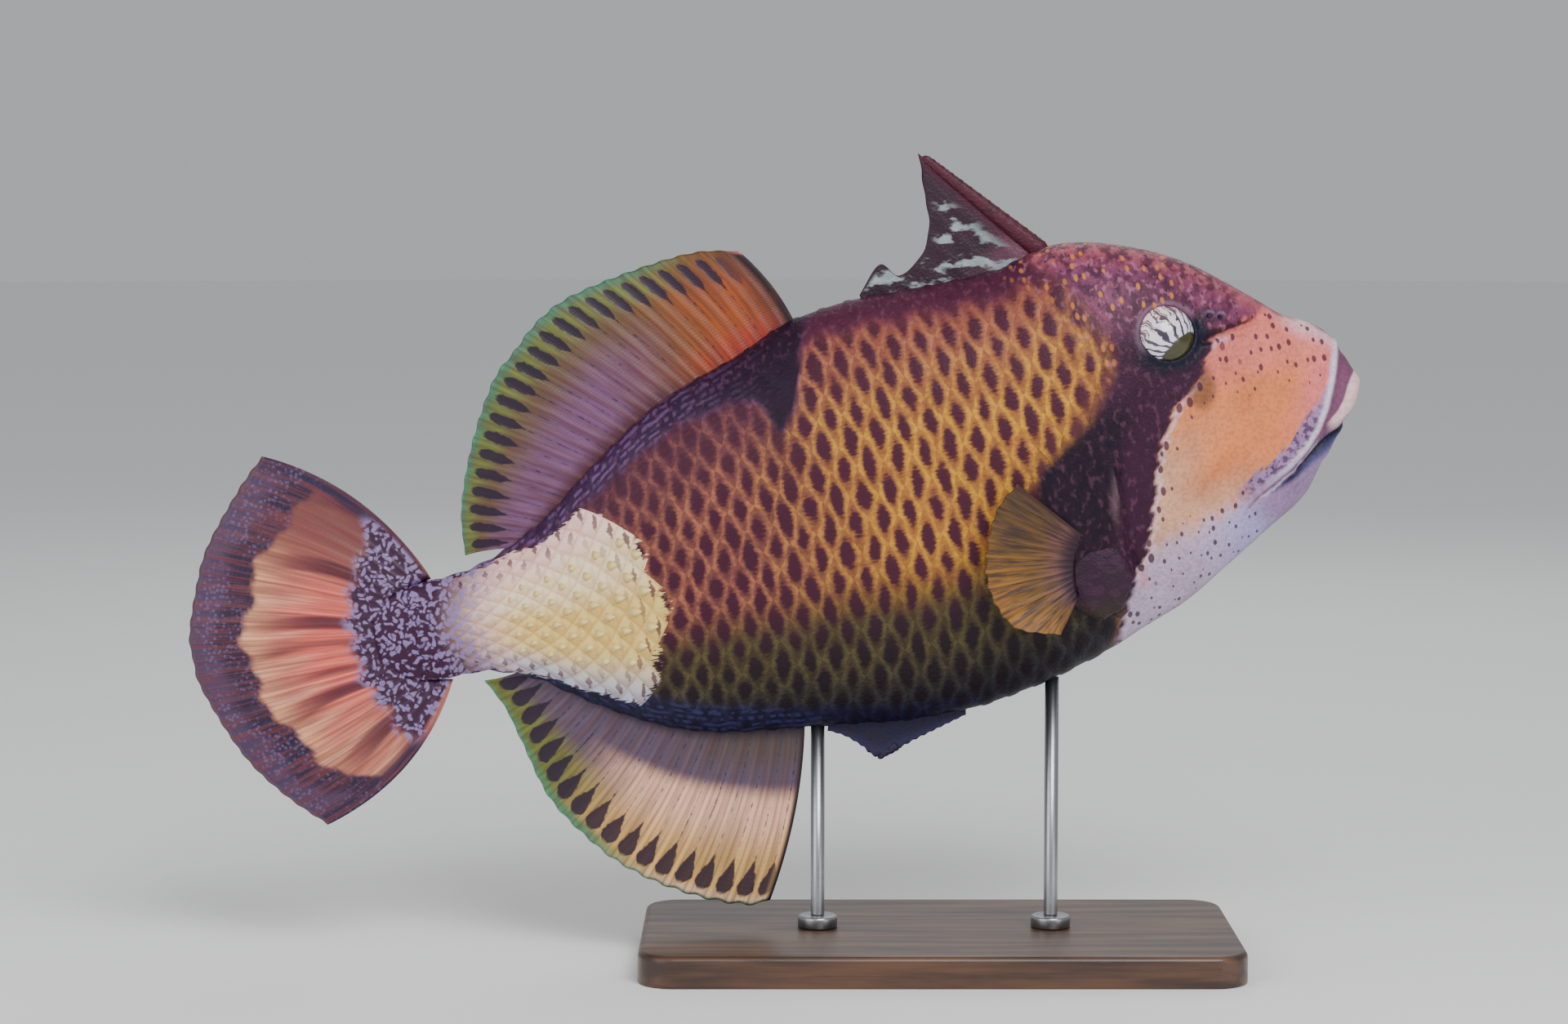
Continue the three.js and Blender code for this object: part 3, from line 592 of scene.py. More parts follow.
class Coat:
    """The colours of the body, worked out from where places lie on the side view."""

    ORANGE = paint(224, 130, 78)
    CHEEK_PALE = paint(216, 164, 134)
    SNOUT = paint(228, 120, 118)
    SNOUT_TOP = paint(240, 186, 196)
    SLIT_BLUE = paint(84, 84, 138)
    SHADOW_UNDER_EYE = paint(16, 18, 40)
    THROAT = paint(198, 176, 206)
    CHIN = paint(176, 166, 218)
    RIDGE = paint(222, 204, 230)
    MOUSTACHE = paint(122, 74, 104)
    LIP = paint(236, 196, 200)
    LAVENDER = paint(160, 128, 172)
    NAVY = paint(24, 20, 46)
    BAND = paint(54, 20, 46)
    BAND_DEEP = paint(26, 10, 30)
    OLIVE = paint(128, 86, 58)
    CROWN = paint(122, 60, 92)
    CROWN_EDGE = paint(172, 88, 100)
    TRUNK = paint(152, 88, 54)
    TRUNK_HIGH = paint(130, 66, 54)
    TRUNK_REAR = paint(92, 46, 54)
    TRUNK_LOW = paint(60, 46, 32)
    BELLY = paint(30, 30, 36)
    GOLD = paint(204, 148, 42)
    GOLD_REAR = paint(162, 98, 70)
    GOLD_LOW = paint(84, 76, 46)
    DOT = paint(84, 34, 46)
    SPOT = paint(62, 20, 42)
    SPOT_LOW = paint(28, 18, 26)
    BACK_EDGE = paint(74, 28, 52)
    BLOTCH = paint(34, 12, 38)
    BLOTCH_REAR = paint(58, 34, 68)
    DASH = paint(126, 92, 142)
    BELLY_DASH = paint(58, 62, 110)
    STALK = paint(246, 224, 186)
    STALK_YELLOW = paint(232, 200, 118)
    STALK_PINK = paint(244, 202, 196)
    STALK_LOW = paint(172, 180, 206)
    LACE_GROUND = paint(58, 26, 54)
    LACE_LIGHT = paint(134, 114, 160)

    def __init__(self, s: Array, z: Array, scale_s: Array, scale_z: Array) -> None:
        """Measures the places and starts with plain colours and no markings.

        Args:
            s: Distance behind the snout.
            z: Height.
            scale_s: Distance behind the snout of the middle of the scale there.
            scale_z: Height of the middle of the scale.
        """
        self.s, self.z = s, z
        self.by_scale = LAYOUT.STALK_FRONT.near(scale_s, scale_z)[0]
        self.below_back = FORM.BACK.at(s) - z
        self.over_belly = z - FORM.BELLY.at(s)
        self.height = self.over_belly / np.maximum(self.below_back + self.over_belly, 1)
        self.over_blotch = self.below_back - LAYOUT.BLOTCH_DEPTH.at(s)
        self.shape = shape = np.shape(s)
        self.ground, self.net, self.mark = (layered(shape, c) for c in (self.ORANGE, self.GOLD, self.DOT))
        self.scales, self.dots, self.crown, self.gold = np.zeros((4, *shape))
        self.lace, self.rows, self.mottle, self.pale = np.zeros((4, *shape))

    def fields(self) -> Fields:
        """Works out the markings.

        Returns:
            Colours and strengths as attributes of a mesh.
        """
        self.lay_cheek()
        self.lay_mouth()
        self.lay_crown()
        self.lay_nostrils()
        self.lay_band()
        self.lay_eye_rim()
        self.lay_trunk()
        self.lay_dark_edges()
        self.lay_stalk()
        return {
            "ground": self.ground,
            "mark": self.mark,
            "net": self.net,
            "stalk": self.pale_ground,
            "masks": np.stack([self.scales, self.dots, self.crown], axis=-1),
            "tails": np.stack([self.lace, self.rows, self.mottle], axis=-1),
            "extras": np.stack([self.gold, self.pale, 0 * self.pale], axis=-1),
        }

    def over(self, colour: Array, mask: Array) -> None:
        """Lays a colour, or an array of colours, over the ground."""
        self.ground = lay(self.ground, colour, mask)

    def lay_cheek(self) -> None:
        """Lays the orange cheek, the pink snout and the pale throat."""
        s, z = self.s, self.z
        rear = cheek_depth(s, z)
        throat = z - LAYOUT.THROAT.at(s)
        self.over(self.CHEEK_PALE, ramp(rear, 34, 4) * ramp(z, 16, -20) * 0.9)
        self.over(self.CHEEK_PALE, ramp(throat, 24, 8) * ramp(s, 50, 80) * 0.8)
        self.over(self.SNOUT, ramp(LAYOUT.RIDGE.near(s, z)[0], 24, 4) * ramp(z, -22, 4))
        self.over(self.SNOUT, ramp(z, 10, 34) * 0.75)
        self.over(self.SNOUT_TOP, ramp(self.below_back, 13, 2) * ramp(s, 42, 20))
        self.over(self.THROAT, ramp(throat + 1.2 * waver(s), 9, -7))
        self.over(self.CHIN, ramp(throat, 2, -8) * ramp(s, 104, 62))
        patch = np.hypot((s - 80) / 8.5, (z - 21) / 12.5)
        self.over(self.OLIVE, ramp(patch, 1.15, 0.6) * 0.85)
        upper = ramp(z, -2, 24) * ramp(s, 4, 14)
        lower = ramp(throat, 16, 0) * ramp(s, 60, 80)
        self.dots = np.maximum.reduce([upper * 0.8, lower * 0.72, ramp(rear, 13, 3) * 1.15])

    def lay_mouth(self) -> None:
        """Lays the bands of the lips along the line of the mouth, and painted shade in the mouth's slit."""
        s, z = self.s, self.z
        away, share = LAYOUT.RIDGE.near(s, z)
        slit, slit_share = LAYOUT.MOUTH.near(s, z)
        width = 1.0 + 7.0 * ramp(share, 0.12, 0.5) + 0.9 * waver(s * 1.3 + z)
        strip = ramp(away, width + 1.0, width - 1.0) * ramp(share, 1, 0.85)
        self.over(self.LAVENDER, strip)
        self.mottle = strip * ramp(away, 0.5, 2.5) * ramp(share, 0.25, 0.45)
        front = ramp(away, -1.0, -2.2) * ramp(share, 1.0, 0.9)
        self.over(self.MOUSTACHE, front * ramp(slit, -2, 1))
        lip = ramp(LAYOUT.UPPER_LIP.near(s, z)[0], 4.0, 3.2) * ramp(s, 22, 16)
        self.over(self.LIP, lip * ramp(slit, 0.5, 1.6))
        self.over(self.RIDGE, np.clip(1.25 * hill(away, 1.5), 0, 1) * ramp(share, 0.95, 0.5))
        blue = ramp(slit, 3.4, 0.6) * ramp(slit, -2.5, -0.5) * ramp(share, 0.25, 0.4)
        self.over(self.SLIT_BLUE, blue * front * 0.7)
        # Painted shade in the slit of the mouth: navy, darkest along its bottom
        dark = hill(slit + 0.8, 1.8) * ramp(slit_share, 1.0, 0.8)
        self.over(self.NAVY, np.clip(dark * 1.2, 0, 1))
        lower = ramp(slit, -0.5, -1.5) * ramp(slit, -4.5, -2.0) * ramp(slit_share, 0.95, 0.6)
        self.over(self.SLIT_BLUE, lower * 0.6)
        line = hill(away + 3.6 + 0.3 * waver(s), 0.7) * ramp(share, 0.45, 0.6) * ramp(share, 1, 0.9)
        self.over(self.RIDGE, line * 0.7)
        past = ramp(share, 0.97, 1.0)
        beside = ramp(away, 1, 3) * ramp(away, 10, 6) * ramp(share, 0.3, 0.5)
        self.dots = self.dots * np.maximum(ramp(away, -1, 2), past) + 0.45 * beside
        self.dots = np.maximum(self.dots, 0.6 * ramp(slit, -8, -12) * ramp(s, 52, 66))

    def lay_crown(self) -> None:
        """Lays the mauve crown, painted shade in the groove before the eye and a painted highlight just under
        the groove.
        """
        s, z = self.s, self.z
        away = LAYOUT.CROWN.near(s, z)[0] + 0.8 * waver(s * 1.2)
        crown = ramp(away, -1, 2.5) * ramp(s, 27, 46)
        colour = layered(self.shape, self.CROWN, (self.CROWN_EDGE, ramp(self.below_back, 14, 2)))
        self.over(colour, crown)
        self.crown = crown * ramp(s, 40, 60)
        self.gold = crown * ramp(s, 74, 86) * ramp(z, 56, 66)
        self.dots = self.dots * (1 - 0.5 * crown)
        groove, share = LAYOUT.GROOVE.near(s, z)
        thick = 1.2 + 2.2 * ramp(share, 0.3, 1.0) + 0.35 * waver(s * 1.4)
        # Painted shade in the groove before the eye: a dark band along its bottom
        dark = ramp(np.abs(groove - 0.6 * thick), thick, 0.3 * thick)
        self.over(self.BAND_DEEP, 0.92 * dark * ramp(share, 0.1, 0.35) * ramp(s, 86, 80))
        # Painted highlight on the low ridge just under the groove
        gleam = hill(groove + 3.4 + 0.5 * waver(s * 2), 1.5) * ramp(share, 0.5, 0.75) * ramp(s, 84, 78)
        self.over(self.RIDGE, 0.55 * gleam)

    def lay_nostrils(self) -> None:
        """Lays two nostrils, dark with painted shade in their pits, each with a painted highlight on its
        upper rim.
        """
        for nostril_s, nostril_z in LAYOUT.NOSTRILS:
            up = self.z - nostril_z
            ring = np.hypot((self.s - nostril_s) * 0.75, up)
            self.over(self.BAND, 0.5 * ramp(ring, 5, 2))
            # Painted highlight on the upper side of the nostril's rim
            self.over(self.LAVENDER, 0.6 * hill(ring - 1.8, 0.5) * ramp(up, -0.5, 0.8))
            # Painted shade in the nostril's pit
            self.over(self.NAVY, ramp(ring, 1.6, 0.9))
            self.crown = self.crown * ramp(ring, 1.5, 4)

    def lay_band(self) -> None:
        """Lays the dark band from the eye down to the breast fin."""
        s, z = self.s, self.z
        rear = cheek_depth(s, z) + 0.9 * waver(z * 1.1 + 0.4 * s)
        low = ramp(rear, 0.9, -0.9) * ramp(z, 54, 42)
        band = np.maximum(low, ramp(rear, 1, -2) * ramp(z, 66, 46) * ramp(s, 94, 106))
        deep = ramp(rear, -12, -24) * ramp(z, 30, 8)
        self.over(layered(self.shape, self.BAND, (self.BAND_DEEP, deep)), band)
        self.over(self.RIDGE, 0.5 * hill(rear - 1.6, 1.2) * ramp(z, 26, 10))
        self.dots = self.dots * (1 - band)
        self.crown = np.maximum(self.crown * (1 - band), 0.2 * band)
        self.gold = self.gold * (1 - band)

    def lay_eye_rim(self) -> None:
        """Lays the painted shadow under the eye, a faint painted highlight on its upper rim and the pale
        flesh in the gill slit.
        """
        ds, dz = self.s - LAYOUT.EYE[0], self.z - LAYOUT.EYE[1]
        ring = np.hypot(ds, dz * 1.04)
        under = ramp(dz + 0.45 * ds, 4, -5)
        self.over(self.BAND, ramp(ring, 32, 17) * ramp(self.s, 70, 84) * 0.6)
        # Painted shadow under the proud eyeball, on the lower side of its rim
        self.over(self.SHADOW_UNDER_EYE, ramp(ring, 24, 17) * under)
        # Faint painted highlight on the upper side of the eye's raised rim
        self.over(self.RIDGE, hill(ring - 15.2, 1.2) * (1 - under) * 0.15)
        self.crown = self.crown * ramp(ring, 15, 18)
        gill, share = LAYOUT.GILL.near(self.s, self.z)
        self.over(self.LIP, 0.5 * hill(gill - 2.5, 1.2) * hill(share - 0.38, 0.11))
        self.over(self.SNOUT, 0.6 * hill(gill, 2.2) * ramp(share, 0.9, 1.0))

    def lay_trunk(self) -> None:
        """Lays the scaled flank with its maroon upper edge."""
        s, height, shape = self.s, self.height, self.shape
        # The border runs down from the back, so its upper side is towards the tail
        behind = LAYOUT.SCALES_FRONT.near(s, self.z)[0]
        scaled = ramp(behind, -3, 4)
        edge = ramp(self.below_back + 1.5 * np.sin(s / 4), 20, 9) * ramp(s, 128, 160)
        ground = layered(
            shape,
            self.TRUNK,
            (self.TRUNK_HIGH, ramp(height, 0.55, 0.85)),
            (self.TRUNK_REAR, ramp(s, 225, 310) * ramp(height, 0.2, 0.4)),
            (self.TRUNK_LOW, ramp(height, 0.42, 0.24)),
            (self.BELLY, ramp(height, 0.22, 0.03)),
            (self.BACK_EDGE, edge),
            (self.BAND * 1.3, ramp(behind, 13, 0) * 0.7),
        )
        net = layered(
            shape,
            self.GOLD,
            (self.GOLD_REAR, ramp(s, 225, 330)),
            (self.GOLD_REAR, ramp(height, 0.72, 0.9)),
            (self.GOLD_LOW, ramp(height, 0.42, 0.26)),
            (self.BELLY * 2.0, ramp(height, 0.2, 0.04)),
            (self.BACK_EDGE * 2.2, edge),
        )
        self.over(ground, scaled)
        self.net = lay(self.net, net, scaled)
        mark = layered(shape, self.SPOT, (self.SPOT_LOW, ramp(height, 0.4, 0.15)))
        self.mark = lay(self.mark, mark, scaled)
        shoulder = ramp(behind, -2, 12)
        self.scales = (scaled + (shoulder - scaled) * ramp(height, 0.5, 0.62)) * (1 - 0.8 * edge)
        self.dots = self.dots * (1 - scaled)
        above = (1 - ramp(behind, 0, 22)) * scaled * ramp(height, 0.6, 0.72)
        self.crown = np.maximum.reduce([self.crown * (1 - scaled), above * 0.8, edge * scaled * 0.2])
        self.gold = np.maximum(self.gold * (1 - scaled), above)

    def lay_dark_edges(self) -> None:
        """Lays the dark blotch under the soft back fin, the rows of small scales behind it and the belly."""
        s = self.s
        rear = ramp(s, 286, 380)
        blotch = ramp(self.over_blotch + waver(s * 0.5), 3.0, -3.0)
        fringe = ramp(self.over_blotch, 44, 0) * ramp(s, 276, 300) * ramp(s, 430, 380)
        belly = ramp(self.over_belly - LAYOUT.BELLY_DARK.at(s), 4, -4)
        self.over(self.BAND * 1.2, fringe * 0.9)
        self.over(layered(self.shape, self.BLOTCH, (self.BLOTCH_REAR, rear)), blotch)
        self.over(self.NAVY, belly)
        self.net = lay(self.net, self.BACK_EDGE * 1.6, fringe * 0.6)
        self.net = lay(self.net, self.DASH, blotch)
        self.net = lay(self.net, self.BELLY_DASH, belly)
        self.mark = lay(self.mark, self.NAVY * 0.7, belly)
        rows = np.maximum(blotch * (0.08 + 0.6 * rear) * ramp(s, 280, 300), fringe * 0.1)
        self.rows = np.maximum(rows, belly * ramp(s, 285, 310) * 0.6)
        self.scales = self.scales * (1 - np.maximum.reduce([blotch, fringe * 0.3, belly * 0.8]))

    def lay_stalk(self) -> None:
        """Lays the pale tail stalk, whose front border half follows the scales, and the lace behind it."""
        s, z, height = self.s, self.z, self.height
        border = 0.45 * LAYOUT.STALK_FRONT.near(s, z)[0] + 0.55 * self.by_scale
        over_belly = self.over_belly - 0.6 * LAYOUT.BELLY_DARK.at(s)
        inside = np.minimum.reduce([border, 1.5 * self.over_blotch, 1.5 * over_belly])
        self.pale = np.clip(inside / STALK_FADE, -1, 1)
        self.pale_ground = layered(
            self.shape,
            self.STALK,
            (self.STALK_YELLOW, ramp(height, 0.62, 0.45)),
            (self.STALK_PINK, ramp(height, 0.64, 0.85)),
            (self.STALK_LOW, ramp(height, 0.32, 0.08) * 0.9),
            (self.STALK_PINK * 0.94, ramp(s, 425, 462) * 0.8),
        )
        self.lace = ramp(s + 0.3 * np.abs(z + 22), 432, 508)
        self.scales = self.scales * (1 - ramp(self.lace, 0, 0.4))


def skin_fields(s: Array, share: Array, z: Array, column: Array, level: Array) -> Fields:
    """Gives everything that the skin's material reads.

    Args:
        s: Distance behind the snout.
        share: Share of the girth.
        z: Height.
        column: Column in the lattice of scales.
        level: Level in the lattice.

    Returns:
        Attributes of a mesh.
    """
    fields = Coat(s, z, *FORM.nearest_scale(column, level)).fields()
    fields["weave"] = np.stack([(column + level) / 2, (column - level) / 2, 0 * column], axis=-1)
    fields["flat"] = np.stack([s, FORM.height(s, share), FORM.edge(s, z)], axis=-1)
    return fields


def link(piece: Piece) -> None:
    """Puts an object in the scene."""
    bpy.context.scene.collection.objects.link(piece)


def dress(mesh: Mesh, slot: str, finish: Material, *nodes: str) -> Piece:
    """Turns a mesh into a piece that rides on the fish's only body.

    Args:
        mesh: The mesh, whose name the piece takes.
        slot: The name of a material slot, which is not used.
        finish: The piece's material.
        nodes: The solids that it replaces.

    Returns:
        The piece.
    """
    piece = bpy.data.objects.new(mesh.name, mesh)
    link(piece)
    mesh.materials.append(finish)
    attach(piece, "root")
    if nodes:
        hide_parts(*nodes)
    return piece


def add_fields(mesh: Mesh, fields: Fields, rows: Array | slice = slice(None)) -> None:
    """Writes arrays as attributes of a mesh's points.

    Args:
        mesh: The mesh.
        fields: Arrays by the attribute's name, with one number or three for each row.
        rows: For each point, its row in the arrays.
    """
    for name, values in fields.items():
        triple = values.shape[-1:] == (3,)
        picked = values.reshape(-1, 3)[rows] if triple else values.reshape(-1)[rows]
        layer = mesh.attributes.new(name, "FLOAT_VECTOR" if triple else "FLOAT", "POINT")
        layer.data.foreach_set("vector" if triple else "value", picked.astype(np.float32).ravel())


def points(mesh: Mesh) -> Array:
    """Reads the places of a mesh's points, in a row for each."""
    places = np.zeros(len(mesh.vertices) * 3, np.float32)
    mesh.vertices.foreach_get("co", places)
    return places.reshape(-1, 3).astype(float)


def taken(mesh: Mesh, name: str) -> Array:
    """Reads a whole-number attribute of a mesh's points and removes it from the mesh."""
    numbers = np.zeros(len(mesh.vertices), np.int32)
    mesh.attributes[name].data.foreach_get("value", numbers)
    mesh.attributes.remove(mesh.attributes[name])
    return numbers


def moved(mesh: Mesh, places: Array) -> None:
    """Moves a mesh's points to places in metres and turns its faces out."""
    mesh.vertices.foreach_set("co", places.astype(np.float32).ravel())
    bm = bmesh.new()
    bm.from_mesh(mesh)
    bmesh.ops.recalc_face_normals(bm, faces=bm.faces)
    bm.to_mesh(mesh)
    bm.free()


def plain_mesh(bm: bmesh.types.BMesh, name: str) -> Mesh:
    """Turns a bmesh into a mesh and frees it."""
    mesh = bpy.data.meshes.new(name)
    bm.to_mesh(mesh)
    bm.free()
    return mesh


def smooth_mesh(bm: bmesh.types.BMesh, name: str) -> Mesh:
    """Closes a bmesh's seams, turns its faces out and gives it as a smooth mesh."""
    bmesh.ops.remove_doubles(bm, verts=bm.verts, dist=2e-6)
    bmesh.ops.recalc_face_normals(bm, faces=bm.faces)
    mesh = plain_mesh(bm, name)
    mesh.polygons.foreach_set("use_smooth", np.ones(len(mesh.polygons), bool))
    return mesh


def ball_mesh(name: str, columns: int, rows: int) -> Mesh:
    """Makes a smooth ball of radius 1 about the origin.

    Args:
        name: The mesh's name.
        columns: Faces round it.
        rows: Faces from pole to pole.

    Returns:
        The mesh.
    """
    bm = bmesh.new()
    bmesh.ops.create_uvsphere(bm, u_segments=columns, v_segments=rows, radius=1.0)
    return smooth_mesh(bm, name)


def grid_mesh(name: str, places: Array, fields: Fields) -> Mesh:
    """Makes a mesh of a grid laid on an array of places, closed wherever its edges meet.

    Args:
        name: The mesh's name.
        places: Rows by columns of X, Y and Z in metres.
        fields: Attributes, as arrays of the same rows and columns.

    Returns:
        The mesh.
    """
    rows, columns = places.shape[0] - 1, places.shape[1] - 1
    bm = bmesh.new()
    cell = bm.verts.layers.int.new("cell")
    bmesh.ops.create_grid(bm, x_segments=columns, y_segments=rows, size=0.5)
    flat = places.reshape(-1, 3)
    for vert in bm.verts:
        i = round((vert.co.y + 0.5) * rows)
        j = round((vert.co.x + 0.5) * columns)
        vert[cell] = i * (columns + 1) + j
        vert.co = flat[vert[cell]]
    mesh = smooth_mesh(bm, name)
    add_fields(mesh, fields, taken(mesh, "cell"))
    return mesh


class Value:
    """A number, place or colour in a material, on which plain arithmetic adds nodes."""

    def __init__(self, sketch: "Sketch", socket: bpy.types.NodeSocket) -> None:
        """Keeps the socket that gives the value."""
        self.sketch, self.socket = sketch, socket

    def math(self, operation: str, other: "Value | float" = 0.0) -> "Value":
        """Combines this value with another."""
        return self.sketch.add("Math", {0: self, 1: other}, operation=operation)

    def __add__(self, other: "Value | float") -> "Value":
        """Adds another."""
        return self.math("ADD", other)

    def __sub__(self, other: "Value | float") -> "Value":
        """Takes another away."""
        return self.math("SUBTRACT", other)

    def __mul__(self, other: "Value | float") -> "Value":
        """Multiplies by another."""
        return self.math("MULTIPLY", other)

    def __pow__(self, other: float) -> "Value":
        """Raises to a power."""
        return self.math("POWER", other)

    def __abs__(self) -> "Value":
        """Drops the sign."""
        return self.math("ABSOLUTE")

    def sine(self) -> "Value":
        """Takes the sine."""
        return self.math("SINE")

    def saw(self) -> "Value":
        """Takes what is left over a whole number."""
        return self.math("FRACT")

    def parts(self) -> list["Value"]:
        """Splits a place or colour in three."""
        node = self.sketch.node("SeparateXYZ", {0: self})
        return [Value(self.sketch, socket) for socket in node.outputs]

    def step(self, low: float, high: float) -> "Value":
        """Adds a smooth step.

        Args:
            low: Where it is 0.
            high: Where it is 1, which may be below low.

        Returns:
            The step.
        """
        ends = (low, high, 0, 1) if low < high else (high, low, 1, 0)
        inputs = {0: self, **dict(enumerate(ends, 1))}
        return self.sketch.add("MapRange", inputs, interpolation_type="SMOOTHSTEP")

    def under(self, colour: object, strength: object) -> "Value":
        """Lays a colour over this one, as strongly as said."""
        return self.sketch.mix(strength, self, colour)

    def tinted(self, tint: tuple[float, float, float], strength: object = 1.0) -> "Value":
        """Multiplies this colour by another, as strongly as said."""
        return self.sketch.mix(strength, self, tint, "MULTIPLY")


class Sketch:
    """Adds a material's nodes one by one and links them."""

    def __init__(self, name: str) -> None:
        """Starts a material with its standard shader."""
        self.material = bpy.data.materials.new(name)
        self.material.use_nodes = True
        self.tree = self.material.node_tree
        self.shader = self.tree.nodes["Principled BSDF"]

    def plug(self, value: object, socket: bpy.types.NodeSocket) -> None:
        """Links a value to an input, or sets the input to a plain number or colour."""
        if isinstance(value, Value):
            self.tree.links.new(value.socket, socket)
        else:
            socket.default_value = value

    def node(self, kind: str, inputs: dict[int | str, object], **settings: object) -> bpy.types.Node:
        """Adds a node.

        Args:
            kind: The node's type without its ShaderNode prefix.
            inputs: Values or plain numbers by input.
            settings: The node's own settings.

        Returns:
            The node.
        """
        node = self.tree.nodes.new("ShaderNode" + kind)
        for key, value in settings.items():
            setattr(node, key, value)
        for key, value in inputs.items():
            self.plug(value, node.inputs[key])
        return node

    def add(self, kind: str, inputs: dict, output: int | str = 0, **settings: object) -> Value:
        """Adds a node, in the same terms as node, and gives one of its outputs."""
        return Value(self, self.node(kind, inputs, **settings).outputs[output])

    def mix(self, factor: object, a: object, b: object, blend: str = "MIX") -> Value:
        """Mixes two colours, with a factor that is the share of the second one."""
        a, b = (c if isinstance(c, Value) else (*c, 1) for c in (a, b))
        return self.add("Mix", {0: factor, 6: a, 7: b}, 2, data_type="RGBA", blend_type=blend)

    def read(self, name: str, output: str = "Vector") -> Value:
        """Reads an attribute of the mesh."""
        return self.add("Attribute", {}, output, attribute_name=name)

    def here(self) -> Value:
        """Reads the place on the object."""
        return self.add("TexCoord", {}, "Object")

    def join(self, x: object, y: object) -> Value:
        """Joins two values as a flat place."""
        return self.add("CombineXYZ", {0: x, 1: y})

    def stretched(self, place: Value, scale: tuple, turn: tuple = (0, 0, 0)) -> Value:
        """Turns and scales a place."""
        return self.add("Mapping", {0: place, 2: turn, 3: scale})

    def noise(self, place: Value, scale: float, detail: float = 2.0, output: int | str = 0) -> Value:
        """Adds smooth noise from 0 to 1."""
        return self.add("TexNoise", {"Vector": place, "Scale": scale, "Detail": detail}, output)

    def cells(self, place: Value, scale: float, uneven: float = 1.0, flat: bool = False) -> list[Value]:
        """Adds uneven cells in space or on a plane, as the distance to a middle and a random colour."""
        inputs = {"Vector": place, "Scale": scale, "Randomness": uneven}
        node = self.node("TexVoronoi", inputs, voronoi_dimensions="2D" if flat else "3D")
        return [Value(self, node.outputs[name]) for name in ("Distance", "Color")]

    def bump(self, height: Value, depth_mm: float, below: Value | None = None) -> Value:
        """Adds a bump of a depth in millimetres, over another one if given."""
        inputs = {"Height": height, "Strength": 1.0, "Distance": depth_mm * MM}
        if below is not None:
            inputs["Normal"] = below
        return self.add("Bump", inputs)

    def finish(self, colour: object, rough: object, normal: Value | None = None, **constants: float) -> None:
        """Links the shader's colour, roughness and bump, and sets its other values by their names."""
        self.plug(colour, self.shader.inputs["Base Color"])
        self.plug(rough, self.shader.inputs["Roughness"])
        if normal is not None:
            self.plug(normal, self.shader.inputs["Normal"])
        for key, value in constants.items():
            self.shader.inputs[key.replace("_", " ").title().replace("Ior", "IOR")].default_value = value


